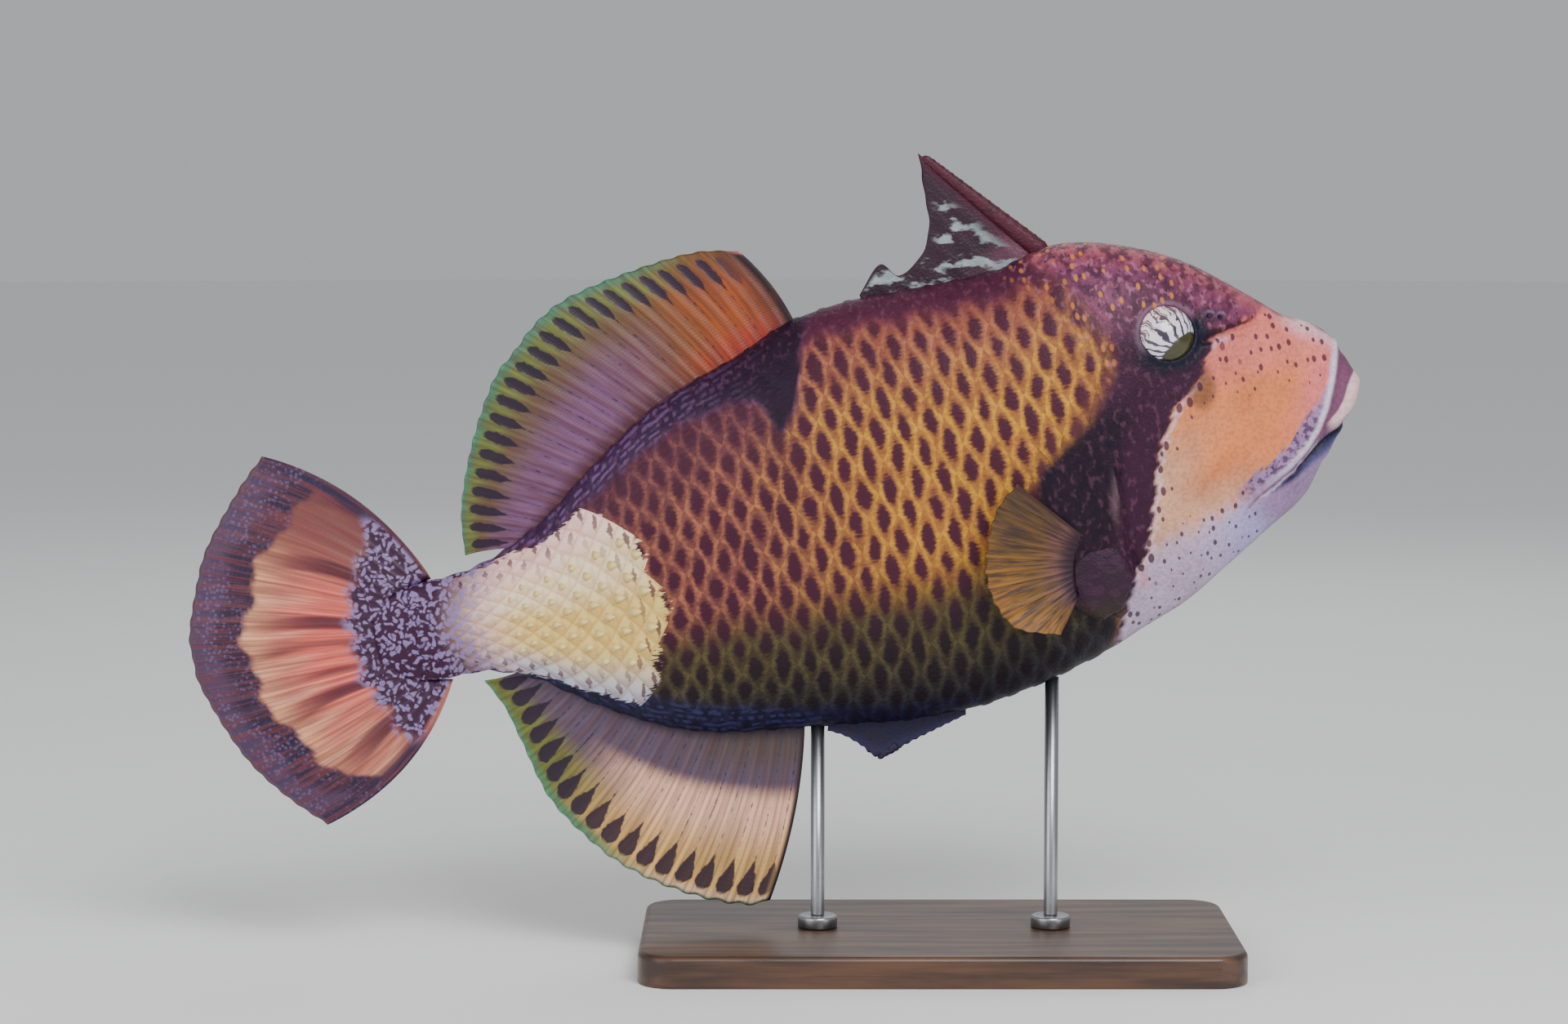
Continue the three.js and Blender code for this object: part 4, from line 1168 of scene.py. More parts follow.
class SkinFinish:
    """Satin skin with scales, dots and lace in the colours and strengths that the mesh carries."""

    ROUGHNESS = 0.36
    COAT = 0.03
    SPECULAR = 0.18

    def __init__(self) -> None:
        """Reads the attributes, and works out the place within the nearest scale."""
        self.sk = sk = Sketch("fish_skin")
        self.colour, self.mark = sk.read("ground"), sk.read("mark")
        self.net, self.stalk = sk.read("net"), sk.read("stalk")
        self.scales, self.dots, self.crown = sk.read("masks").parts()
        self.lace, self.rows, self.mottle = sk.read("tails").parts()
        self.gold, self.pale, _ = sk.read("extras").parts()
        self.s, self.z, self.off_edge = sk.read("flat").parts()
        self.view = sk.join(self.s, self.z)
        self.here = sk.here()
        u, v, _ = sk.read("weave").parts()
        sway_u, sway_v, _ = sk.noise(self.view, 0.075, output="Color").parts()
        u += (sway_u - 0.5) * 0.5
        v += (sway_v - 0.5) * 0.5
        a = (u + 0.5).saw() - 0.5
        b = (v + 0.5).saw() - 0.5
        self.rise = a - b
        self.along = a + b
        self.across = abs(self.along)
        self.up = abs(self.rise)
        self.edge = abs(a).math("MAXIMUM", abs(b))
        self.chance = sk.add("TexWhiteNoise", {"Vector": sk.join(u - a, v - b)}, "Value")

    def over(self, colour: object, strength: Value) -> None:
        """Lays a colour over what is drawn so far."""
        self.colour = self.colour.under(colour, strength)

    def comb(self, along: float, upright: float, depth: float) -> Value:
        """Gives an uneven fringe of short level teeth, between minus and plus half the depth."""
        return (self.sk.noise(self.sk.join(self.s * along, self.z * upright), 1.0, 4.0) - 0.5) * depth

    def flattened(self, upright: float) -> Value:
        """Gives the side view's place with its height scaled."""
        return self.sk.join(self.s, self.z * upright)

    def material(self) -> Material:
        """Builds the material."""
        sk = self.sk
        self.cloud()
        self.draw_net()
        self.draw_spots()
        self.draw_rows()
        self.lay_stalk()
        self.draw_dots()
        self.dapple_crown()
        colour = lace_over(sk, self.here, self.colour, self.lace)
        grain, _ = sk.cells(self.here, 640.0)
        rough = sk.noise(self.here, 260.0, 3.0) * 0.25 + self.ROUGHNESS
        normal = sk.bump(sk.noise(self.here, 1100.0, 3.0), 0.10, sk.bump(grain, 0.2))
        coat = {"coat_weight": self.COAT, "coat_roughness": 0.25}
        sk.finish(colour, rough, normal, specular_ior_level=self.SPECULAR, **coat)
        return sk.material

    def cloud(self) -> None:
        """Varies the ground lightly from place to place."""
        clouds = self.sk.noise(self.here, 45.0, 5.0).step(0.35, 0.75)
        grains = self.sk.noise(self.here, 520.0).step(0.4, 0.65)
        shade = self.colour.tinted((0.45, 0.38, 0.42))
        self.over(shade, clouds * 0.3 + grains * 0.3)

    def draw_net(self) -> None:
        """Draws the broad, patchy net along the scales' edges, brightest before and behind each spot."""
        fray = self.comb(0.35, 1.0, 0.55) + self.comb(1.4, 2.4, 0.3)
        line = (self.edge + fray).step(0.08, 0.36)
        knot = self.across.step(0.15, 0.7) * 0.58 + 0.36
        broad = self.sk.noise(self.view, 0.055, 3.0).step(0.38, 0.62) * 0.35
        fine = self.sk.noise(self.view, 0.42, 4.0).step(0.36, 0.62) * 0.45
        self.over(self.net, line * knot * (broad + fine + 0.3) * self.scales)

    def draw_spots(self) -> None:
        """Draws the dark, combed spot in the middle of each scale, with a rusty ring round it."""
        size = (self.across * 1.22) ** 1.5 + (self.up * 1.04) ** 1.6
        level = size + self.comb(0.22, 0.85, 0.8) + (self.chance - 0.5) * 0.24
        self.over(self.mark, level.step(0.85, 0.4) * self.scales * 0.34)
        self.over(self.mark, level.step(0.55, 0.25) * self.scales * 0.94)

    def draw_rows(self) -> None:
        """Draws rows of pale dashes along the roots of the soft fins."""
        bend = self.sk.noise(self.view, 0.09) * 5.0
        row = (self.off_edge + bend) * (1 / 3.3)
        line = abs(row.saw() - 0.5)
        dash = self.sk.noise(self.sk.join(self.s * 0.24, row.math("FLOOR") * 7.3), 1.0, 1.0)
        drawn = line.step(0.34, 0.16) * dash.step(0.42, 0.58)
        self.over(self.net, drawn * self.rows * 0.8)

    def lay_stalk(self) -> None:
        """Lays the pale stalk with a combed front border, painted shade on the lower half of each scale and
        in the seams between them, and dark dashes near its front.
        """
        stalk = self.stalk
        # Painted shade on the lower half of each scale, under its knob
        shaded = stalk.under(stalk.tinted((0.74, 0.56, 0.40)), self.rise.step(0.2, -0.75) * 0.5)
        # Painted shade in the seams between the scales
        seam = (self.edge + self.comb(0.9, 0.9, 0.2)).step(0.36, 0.52)
        shaded = shaded.under(stalk.tinted((0.66, 0.50, 0.46)), seam * 0.5)
        # The dash lies a little before the spine in the middle of the scale
        size = abs(self.along + 0.32) * 2.1 + self.up * 0.85
        dash = (size + self.comb(0.3, 0.6, 0.9)).step(0.62, 0.36)
        near = self.pale.step(0.85, 0.1) * 0.72 + 0.16
        shaded = shaded.under(paint(96, 58, 66), dash * near)
        border = (self.pale + self.comb(0.16, 0.8, 0.36)).step(-0.025, 0.025)
        self.over(shaded, border)

    def draw_dots(self) -> None:
        """Draws small dark dots on the cheek, snout and throat, and dark mottles behind the lips."""
        away, random = self.sk.cells(self.flattened(0.6), 0.18, 0.75, flat=True)
        size, chance, _ = random.parts()
        drawn = (away - self.dots * (size * 0.14 + 0.17)).step(0.0, -0.08)
        strength = drawn * chance.step(0.05, 0.15) * self.dots.step(0.0, 0.3)
        self.over(paint(66, 30, 52), strength * 0.88)
        flecks = self.sk.noise(self.view, 0.3, 5.0).step(0.44, 0.58)
        self.over(paint(70, 40, 70), flecks * self.mottle * 0.8)

    def dapple_crown(self) -> None:
        """Draws dark and pink clouds on the crown, and small golden dots behind the eye."""
        clouds = self.sk.noise(self.flattened(0.7), 0.17, 6.0).step(0.42, 0.60)
        self.over(paint(60, 24, 48), clouds * self.crown * 0.8)
        pink = self.sk.noise(self.flattened(0.6), 0.34, 5.0).step(0.52, 0.66)
        self.over(paint(176, 112, 138), pink * self.crown * 0.5)
        away, random = self.sk.cells(self.flattened(0.55), 0.2, 0.9, flat=True)
        core = away.step(0.27, 0.12) * random.parts()[0].step(0.42, 0.5) * self.gold
        self.over(paint(202, 122, 48), core * 0.85)


def lace_over(sk: Sketch, here: Value, colour: Value, lace: Value) -> Value:
    """Draws pale, worm-like flecks that thin out on a dark ground.

    Args:
        sk: The material's sketch.
        here: The place on the object.
        colour: The colour below.
        lace: 0 where there is none, rising to 1.

    Returns:
        The colour with the lace.
    """
    shift = sk.noise(here, 160.0, 1.0, "Color")
    bend = sk.add("VectorMath", {0: shift, 3: 0.008}, operation="SCALE")
    bent = sk.add("VectorMath", {0: here, 1: bend}, operation="ADD")
    inputs = {"Vector": bent, "Scale": 330.0, "Smoothness": 0.3}
    away = sk.add("TexVoronoi", inputs, "Distance", feature="SMOOTH_F1") + lace * 0.2
    ground = colour.under(Coat.LACE_GROUND, lace.step(0.04, 0.7))
    light = colour.under(Coat.LACE_LIGHT, lace.step(0.0, 0.45))
    return ground.under(light, away.step(0.72, 0.50))


@dataclass(frozen=True)
class FinFinish:
    """Thin satin fin skin with streaked rays, dark wedges at the ray ends and a coloured margin."""

    name: str
    streak: Rgb = (84, 40, 34)
    streak_strength: float = 0.45
    glow: float = 0.3
    wedge: Rgb = (34, 14, 42)
    wedge_margin: float = 5.0
    wedge_length: float = 20.0
    wedge_width: float = 0.27
    wedge_taper: float = 8.0
    roughness: float = 0.3

    def material(self) -> Material:
        """Builds the material, in which a ray lies wherever the ray coordinate is a whole number."""
        sk = Sketch(self.name)
        here = sk.here()
        ray, reach, inside = sk.read("weave").parts()
        lace, band, wedged = sk.read("masks").parts()
        off_ray = abs(ray.saw() - 0.5)
        lines = sk.noise(sk.join(ray * 3.1, reach * 2.2), 1.0, 4.0)
        fine = sk.noise(sk.join(ray * 13.0, reach * 5.0), 1.0, 3.0)
        both = lines * 0.7 + fine * 0.3
        streak = paint(*self.streak)
        colour = sk.read("ground").under(streak, both.step(0.44, 0.62) * self.streak_strength)
        colour = colour.tinted((1.7, 1.45, 1.25), both.step(0.52, 0.36) * self.glow)
        colour = colour.tinted((1.5, 1.3, 1.0), off_ray.step(0.40, 0.5) * 0.4)
        colour = colour.under(streak, abs(off_ray - 0.33).step(0.09, 0.0) * 0.35)
        # Faint lilac pebbles lie on the dark band
        pebble = sk.cells(here, 430.0)[0].step(0.5, 0.2) * band * sk.noise(here, 55.0).step(0.3, 0.6)
        colour = colour.under(paint(116, 98, 142), pebble * 0.42)
        colour = colour.under(paint(*self.wedge), self.wedges(sk, off_ray, inside) * wedged * 0.94)
        colour = lace_over(sk, here, colour, lace)
        joints = (reach * 260.0).sine() * 0.15
        rough = fine * 0.2 + self.roughness
        normal = sk.bump(joints + fine, 0.16)
        sk.finish(colour, rough, normal, coat_weight=0.06, coat_roughness=0.3, specular_ior_level=0.28)
        return sk.material

    def wedges(self, sk: Sketch, off_ray: Value, inside: Value) -> Value:
        """Draws a wedge between each two rays near the margin, pointed towards the root.

        Args:
            sk: The material's sketch.
            off_ray: Distance from the middle between two rays, in ray gaps.
            inside: Distance from the margin in millimetres.

        Returns:
            The strength of the wedges.
        """
        ragged = (sk.noise(sk.here(), 330.0, 3.0) - 0.5) * 0.22
        first, last = self.wedge_margin, self.wedge_margin + self.wedge_length
        body = inside.step(last + 1, last - self.wedge_taper) * inside.step(first - 3, first + 4)
        within = (off_ray + ragged - body * self.wedge_width).step(0.05, -0.05)
        return within * (inside + ragged * 6.0).step(first - 1.2, first + 1.2)


@dataclass(frozen=True)
class EyeFinish:
    """A glossy eye: white, with dark wavy lines that radiate from an olive pupil."""

    lines: float = 22.0
    pupil: float = 0.55

    def material(self) -> Material:
        """Builds the material from angles about the eye's axis."""
        sk = Sketch("eye_glaze")
        gaze = sk.read("gaze")
        x, y, z = gaze.parts()
        away = (x * x + y * y).math("SQRT").math("ARCTAN2", z)
        wander = sk.noise(gaze, 2.4, 3.0) - 0.5
        beat = y.math("ARCTAN2", x) * self.lines + wander * 10.0
        twigs = (beat * 2.0 + 1.2).sine() - away.step(1.35, 0.95)
        wave = beat.sine().math("MAXIMUM", twigs)
        ink = (wave - (away.step(0.65, 1.5) * 0.36 + 0.42)).step(-0.14, 0.16)
        white = sk.mix(away.step(0.8, 1.7), paint(226, 220, 236), paint(244, 222, 222))
        shade = sk.mix(away.step(1.0, 1.7), paint(34, 20, 44), paint(112, 62, 84))
        colour = white.under(shade, ink * 0.95)
        rim = (away + wander * 0.25).step(self.pupil + 0.07, self.pupil - 0.01)
        core = (away + wander * 0.12).step(self.pupil + 0.05, self.pupil - 0.05)
        olive = sk.mix(sk.noise(gaze, 7.0, 3.0), paint(70, 66, 18), paint(38, 38, 14))
        colour = colour.under(paint(20, 16, 24), rim).under(olive, core)
        sk.finish(colour, 0.18, coat_weight=0.5, coat_roughness=0.05, specular_ior_level=0.4)
        return sk.material


@dataclass(frozen=True)
class SpineFinish:
    """Rough skin of the spiny fin and belly flap: a dark ground with pale mottles."""

    name: str
    pale: float = 0.95
    scale: float = 62.0
    light: Rgb = (178, 186, 184)
    grey: Rgb = (100, 118, 136)

    def material(self) -> Material:
        """Builds the material."""
        sk = Sketch(self.name)
        here = sk.here()
        slanted = sk.stretched(here, (1, 1, 2.1), (0, math.radians(38), 0))
        patch = sk.noise(slanted, self.scale, 4.0).step(0.5, 0.58) * sk.read("mottle", "Fac") * self.pale
        pale = sk.mix(sk.noise(here, 130.0, 3.0), paint(*self.grey), paint(*self.light))
        dark = sk.noise(here, 85.0, 3.0).step(0.55, 0.68) * 0.5
        colour = sk.read("ground").under(pale, patch).under(paint(36, 24, 34), dark)
        normal = sk.bump(sk.cells(here, 700.0)[0], 0.3)
        sk.finish(colour, 0.5, normal, coat_weight=0.05, coat_roughness=0.3, specular_ior_level=0.25)
        return sk.material


@dataclass(frozen=True)
class HornFinish:
    """Pale, slightly polished enamel of the stalk's spines."""

    def material(self) -> Material:
        """Builds the material."""
        sk = Sketch("stalk_enamel")
        here = sk.here()
        colour = sk.mix(sk.noise(here, 200.0, 3.0), paint(246, 226, 168), paint(226, 190, 96))
        normal = sk.bump(sk.noise(here, 1200.0), 0.05)
        sk.finish(colour, 0.3, normal, coat_weight=0.5, coat_roughness=0.15)
        return sk.material


@dataclass(frozen=True)
class WoodFinish:
    """Dark oiled wood with long grain along the base."""

    def material(self) -> Material:
        """Builds the material."""
        sk = Sketch("walnut")
        here = sk.here()
        bands = sk.noise(sk.stretched(here, (0.09, 1.0, 1.0)), 120.0, 6.0)
        pores = sk.noise(sk.stretched(here, (0.03, 1.0, 1.0)), 900.0, 3.0).step(0.6, 0.75)
        colour = sk.mix(bands.step(0.35, 0.65), paint(92, 60, 40), paint(52, 32, 22))
        colour = colour.under(paint(30, 18, 12), pores * 0.6)
        normal = sk.bump(bands - pores * 0.5, 0.12)
        sk.finish(colour, bands * 0.2 + 0.32, normal, coat_weight=0.25, coat_roughness=0.25)
        return sk.material


@dataclass(frozen=True)
class SteelFinish:
    """Brushed steel with fine rings round the rods."""

    def material(self) -> Material:
        """Builds the material."""
        sk = Sketch("brushed_steel")
        rings = sk.noise(sk.stretched(sk.here(), (0.05, 0.05, 1.0)), 4200.0)
        colour = sk.mix(rings, paint(176, 178, 182), paint(150, 152, 156))
        sk.finish(colour, rings * 0.16 + 0.24, sk.bump(rings, 0.02), metallic=1.0)
        return sk.material


@dataclass
class Skin:
    """One closed skin over head, trunk and tail stalk, with the head's folds in its surface."""

    head_rings: int = 168
    body_rings: int = 128
    columns: int = 330
    head_crowding: float = 1.7
    under_plates: float = 0.55

    def build(self, finish: Material) -> Piece:
        """Builds the skin."""
        head = GILL_S * np.linspace(0, 1, self.head_rings + 1) ** self.head_crowding
        body = np.linspace(GILL_S, END_S, self.body_rings + 1)[1:]
        rings = np.concatenate([head, body, [END_S]])[:, None]
        around = np.linspace(0, 2, self.columns + 1)[None, :]
        left = np.where(around <= 1, 1.0, -1.0)
        s, share, side = np.broadcast_arrays(rings, np.minimum(around, 2 - around), left)
        point = FORM.point(s, share, side)
        normal = FORM.normal(s, share, side)
        # Both faces of the midline point straight up, down or ahead, so their sideways part is dropped
        middle = (share < 1e-6) | (share > 1 - 1e-6)
        normal[..., 1] = np.where(middle, 0, normal[..., 1])
        plated = ramp(LAYOUT.SCALES_FRONT.near(s, point[..., 2])[0], -2, 3)
        lift = relief(*np.moveaxis(point, -1, 0)) - self.under_plates * plated
        place = point + normal * (lift * ramp(s, 0.0, 1.5))[..., None]
        place[0] = (0.6, 0, 5)
        place[-1] = (END_S, 0, float(FORM.WIDEST.at(END_S)))
        fields = skin_fields(s, share, point[..., 2], FORM.column(s, share), share * SCALE_LEVELS)
        mesh = grid_mesh("fish_skin", to_metres(*np.moveaxis(place, -1, 0)), fields)
        return dress(mesh, "trunk_skin", finish, "head", "trunk", "tail_stalk")


@dataclass
class ScalePlates:
    """Raised diamond plates over the trunk and the tail stalk, each on its place in the lattice of scales."""

    segments: int = 5
    fill: float = 0.997
    crown: float = 0.42
    stalk_crown: float = 1.0
    rim: float = 0.04
    root: float = 0.9
    patch: float = 0.003

    def centres(self) -> Array:
        """Lists the column, level and side of each plate."""
        rows = [
            (column, level, side)
            for side in (1, -1)
            for column in range(-6, 55)
            for level in range(1, SCALE_LEVELS)
            if (column + level) % 2 == 0
        ]
        centres = np.array(rows, float)
        s, z = FORM.scale_place(centres[:, 0], centres[:, 1])
        return centres[(LAYOUT.SCALES_FRONT.near(s, z)[0] > 1.5) & (s < 488)]

    def squares(self, count: int) -> Mesh:
        """Makes flat squares with a skirt, all about the origin.

        Args:
            count: How many.

        Returns:
            Their mesh, whose points carry the number of their square, from 0.
        """
        bm = bmesh.new()
        plate = bm.verts.layers.int.new("plate")
        for index in range(count):
            made = bmesh.ops.create_grid(bm, x_segments=self.segments, y_segments=self.segments, size=0.5)
            for vert in made["verts"]:
                vert[plate] = index
        rims = [edge for edge in bm.edges if edge.is_boundary]
        for edge in rims:
            edge.smooth = False
        skirt = bmesh.ops.extrude_edge_only(bm, edges=rims)
        for item in skirt["geom"]:
            if isinstance(item, bmesh.types.BMVert):
                item.co.z = -1
        return plain_mesh(bm, "scale_plates")

    def build(self, finish: Material) -> Piece:
        """Builds all the plates as one joined mesh that lies on the skin and has its markings."""
        centres = self.centres()
        mesh = self.squares(len(centres))
        column, level, side = centres[taken(mesh, "plate")].T
        x, y, upright = (points(mesh) * (2, 2, 1)).T
        centre_s, centre_z = FORM.scale_place(column, level)
        pale = on_stalk(centre_s, centre_z)
        a, b = x * self.fill / 2, y * self.fill / 2
        u, v = column + a + b, level + a - b
        s, share = FORM.lattice(u, v)
        dome = (1 - x**2) * (1 - y**2)
        height = self.rim + dome * (self.crown + (self.stalk_crown - self.crown) * pale) * ramp(s, 500, 440)
        height = np.where(upright < -0.5, -self.root, height)
        place = FORM.point(s, share, side) + FORM.normal(s, share, side) * height[:, None]
        moved(mesh, to_metres(*place.T))
        add_fields(mesh, skin_fields(s, share, place[:, 2], u, v))
        patch_u = centre_s / END_S * 0.98 + 0.01 + x * self.patch / 2
        patch_v = level / SCALE_LEVELS * 0.48 + np.where(side > 0, 0.01, 0.51) + y * self.patch / 2
        loops = np.zeros(len(mesh.loops), np.int32)
        mesh.loops.foreach_get("vertex_index", loops)
        layer = mesh.uv_layers.new(name="OFBake")
        layer.data.foreach_set("uv", np.stack([patch_u, patch_v], axis=-1)[loops].astype(np.float32).ravel())
        mesh.polygons.foreach_set("use_smooth", np.ones(len(mesh.polygons), bool))
        return dress(mesh, "trunk_skin", finish)


@dataclass
class StalkSpines:
    """Short spines that lean forward on the scales along each side of the tail stalk."""

    radius: float = 3.1
    tip: float = 0.35
    height: float = 4.0
    lean: float = 1.3
    first_s: float = 364.0
    last_s: float = 436.0
    low: float = 0.24
    high: float = 0.72

    def build(self, finish: Material) -> Piece:
        """Builds the spines as one joined mesh."""
        bm = bmesh.new()
        for column, level, side in ScalePlates().centres():
            s, share = FORM.lattice(column, level)
            scaled = self.first_s < s < self.last_s and self.low < share < self.high
            if scaled and on_stalk(*FORM.scale_place(column, level)) > 0.5:
                self.add_spine(bm, s, share, side)
        return dress(smooth_mesh(bm, "stalk_spines"), "tail_stalk_skin", finish)

    def add_spine(self, bm: bmesh.types.BMesh, s: float, share: float, side: float) -> None:
        """Adds one spine, smaller to the rear, above and below.

        Args:
            bm: The spines so far.
            s: Distance behind the snout.
            share: Share of the girth.
            side: 1 for the left and -1 for the right.
        """
        size = 1 - 0.45 * (s - self.first_s) / (self.last_s - self.first_s)
        height = self.height * size * max(1 - 0.5 * abs(share - 0.48) / 0.24, 0.4)
        out = FORM.normal(s, share, side)
        centre = FORM.point(s, share, side) + out * height * 0.55
        turn = facing(out + np.array([-self.lean, 0, 0]))
        bmesh.ops.create_cone(
            bm,
            cap_ends=True,
            segments=8,
            radius1=self.radius * size * MM,
            radius2=self.tip * size * MM,
            depth=height * 1.6 * MM,
            matrix=Matrix.Translation(Vector(to_metres(*centre))) @ turn,
        )


@dataclass
class Eye:
    """One eye: a ball that sits proud of its rim, its pupil low and to the front."""

    side: int
    pupil: Pair = (85.0, 40.0)
    slant: float = math.radians(40)

    def build(self, finish: Material) -> Piece:
        """Builds the eye."""
        radius = LAYOUT.EYE_RADIUS
        out = FORM.outward(*LAYOUT.EYE, self.side)
        centre = eye_anchor(self.side) + out * (LAYOUT.EYE_PROUD - radius)
        ds, dz = self.pupil[0] - centre[0], self.pupil[1] - centre[2]
        gaze = np.array([ds, self.side * math.sqrt(max(radius**2 - ds**2 - dz**2, 1)), dz])
        label = side_name(self.side)
        mesh = ball_mesh(f"eye_{label}_ball", 96, 64)
        x, y, z = points(mesh).T
        # The pupil is long along a line that rises towards the snout
        level, upright = -self.side * math.cos(self.slant), math.sin(self.slant)
        along, beside = x * level + y * upright, y * level - x * upright
        add_fields(mesh, {"gaze": np.stack([along * 0.8, beside * 1.4, z], axis=-1)})
        place = Matrix.Translation(Vector(to_metres(*centre)))
        mesh.transform(place @ facing(gaze) @ Matrix.Scale(radius * MM, 4))
        return dress(mesh, "eye", finish, f"eye_{label}")


@dataclass
class Fin:
    """A fin of rays and skin: a closed sheet whose rays stand up in its surface."""

    name: str
    node: str
    slot: str
    rays: int
    margin: Outline
    root: float = 4.0
    crest: float = 2.0
    skin: float = 0.8
    edge: float = 0.6
    notch: float = 0.012
    per_ray: int = 8
    rows: int = 46
    sag: float = 0.25
    branch: float = 0.45

    def base(self, u: Array) -> Arrays:
        """Gives s and z of the fin's root line at u, from the first ray to the last."""
        raise NotImplementedError

    def knee_shift(self, u: Array) -> Arrays:
        """Gives how far each ray bows from a straight line at its middle, in s and z."""
        return 0 * u, 0 * u

    def camber(self, u: Array, r: Array) -> Array:
        """Gives how far the fin stands to the left of the midline."""
        return 0 * u * r

    def look(self, u: Array, r: Array) -> Fields:
        """Gives the fin's colours and strengths as attributes, at shares u of its root and r of its rays."""
        raise NotImplementedError

    def thickness(self, u: Array, r: Array) -> Array:
        """Gives the fin's thickness: rays as ridges that branch towards the margin."""
        ray = u * (self.rays - 1)
        off = np.abs(ray - np.round(ray))
        twig = hill(off - 0.2 * ramp(r, self.branch, 1.0), 0.08) * ramp(r, self.branch - 0.1, 0.8)
        ridge = np.maximum(hill(off, 0.17) * ramp(r, 1.1, 0.5), twig)
        body = self.skin * (1 - r) + self.edge * r
        flare = (self.root - self.crest) * np.maximum(0, 1 - 4 * r)
        thick = body + (self.crest - self.skin) * ridge * (1 - 0.55 * r) + flare
        return thick * ramp(r, 1.0, 0.985) + 0.02

    def build(self, finish: Material) -> Piece:
        """Builds the fin."""
        line = np.linspace(0, 1, (self.rays - 1) * self.per_ray + 1)
        loop = np.concatenate([line, line[::-1], line[:1]])[None, :]
        face = np.concatenate([np.ones(len(line)), -np.ones(len(line)), [1]])[None, :]
        r = (np.linspace(0, 1, self.rows + 1) ** 0.9)[:, None]
        ray = loop * (self.rays - 1)
        scallop = self.notch * (1 - np.cos(2 * math.pi * ray)) / 2
        reach = r * (1 - scallop)
        roots, tips = self.base(loop), self.margin.at(loop)
        s, z = (
            start * (1 - reach) ** 2 + ((start + end) / 2 + bow) * 2 * reach * (1 - reach) + end * reach**2
            for start, end, bow in zip(roots, tips, self.knee_shift(loop))
        )
        thick = self.thickness(loop, r + 0 * loop)
        thick[[0, -1]] = 0
        billow = self.sag * np.sin(math.pi * ray) ** 2 * np.sin(math.pi * r) ** 0.5
        y = self.camber(loop, reach) + billow + face * thick / 2
        inside = (1 - reach) * np.hypot(tips[0] - roots[0], tips[1] - roots[1])
        fields = {"weave": np.stack(np.broadcast_arrays(ray, reach, inside), axis=-1)}
        fields.update(self.look(loop + 0 * reach, reach))
        return dress(grid_mesh(self.name, to_metres(s, y, z), fields), self.slot, finish, self.node)


@dataclass
class MidlineFin(Fin):
    """A fin whose root line runs a little inside the back or the belly, from start to stop."""

    start: float = 0.0
    stop: float = 0.0
    below: bool = False
    depth: float = 4.0
    wave: float = 0.0
    phase: float = 0.0

    def base(self, u: Array) -> Arrays:
        """Gives the root line."""
        s = self.start + (self.stop - self.start) * u
        return s, FORM.BELLY.at(s) + self.depth if self.below else FORM.BACK.at(s) - self.depth

    def camber(self, u: Array, r: Array) -> Array:
        """Sways the fin in a slow wave."""
        return self.wave * np.sin(2 * math.pi * (0.85 * u + self.phase)) * r * r


def fin_marks(
    ground: Array, lace: Array | float = 0.0, band: Array | float = 0.0, wedged: Array | float = 0.0
) -> Fields:
    """Gives what the soft fins' material reads besides the rays.

    Args:
        ground: The colours.
        lace: Strength of the pale flecks.
        band: Strength of the dark band's pebbles.
        wedged: Strength of the wedges at the ray ends.

    Returns:
        Attributes of a mesh.
    """
    masks = np.zeros(ground.shape)
    masks[..., 0], masks[..., 1], masks[..., 2] = lace, band, wedged
    return {"ground": ground, "masks": masks}


@dataclass
class BackFin(MidlineFin):
    """The soft back fin: orange in front, olive and lilac behind, with a green margin."""

    name: str = "soft_back_fin"
    node: str = "soft_dorsal_fin"
    slot: str = "soft_fin"
    rays: int = 25
    start: float = 268.0
    stop: float = 427.0
    wave: float = 7.0
    phase: float = 0.1
    margin: Outline = Outline(
        (288.5, 132.5), (310, 136.6), (340, 134.6), (375, 128.4), (394, 119.7), (409, 107), (422, 95),
        (438.5, 67.2), (451, 36.3), (454.5, 12),
    )

    def knee_shift(self, u: Array) -> Arrays:
        """Bows the rays up, the front ones forward and the rear ones back."""
        return 9 * u - 5, 0 * u + 2

    def look(self, u: Array, r: Array) -> Fields:
        """Colours the fin."""
        ground = layered(
            u.shape,
            paint(106, 70, 106),
            (paint(92, 76, 54), ramp(r, 0.35, 0.72)),
            (paint(106, 70, 30), ramp(u + 0.22 * r, 0.62, 0.3)),
            (paint(144, 68, 26), ramp(u + 0.1 * r, 0.4, 0.16) * ramp(r, 0.98, 0.6)),
            (paint(150, 48, 32), ramp(r, 0.32, 0.08) * ramp(u, 0.45, 0.15)),
            (paint(74, 34, 48), ramp(r, 0.2, 0.04) * ramp(u, 0.25, 0.5)),
            (paint(94, 108, 52), ramp(r, 0.66, 0.86) * ramp(u, 0.1, 0.3)),
            (paint(62, 110, 82), ramp(r, 0.90, 0.97) * ramp(u, 0.08, 0.28)),
            (paint(74, 138, 122), ramp(r, 0.975, 0.995) * ramp(u, 0.2, 0.3)),
            (paint(70, 34, 30), ramp(u, 0.10, 0.02) * 0.8),
            (paint(22, 12, 24), ramp(u, 0.028, 0.014)),
            (paint(190, 96, 110), ramp(u, 0.035, 0.0) * ramp(r, 0.93, 0.98)),
        )
        return fin_marks(ground, wedged=ramp(u, 0.03, 0.09))


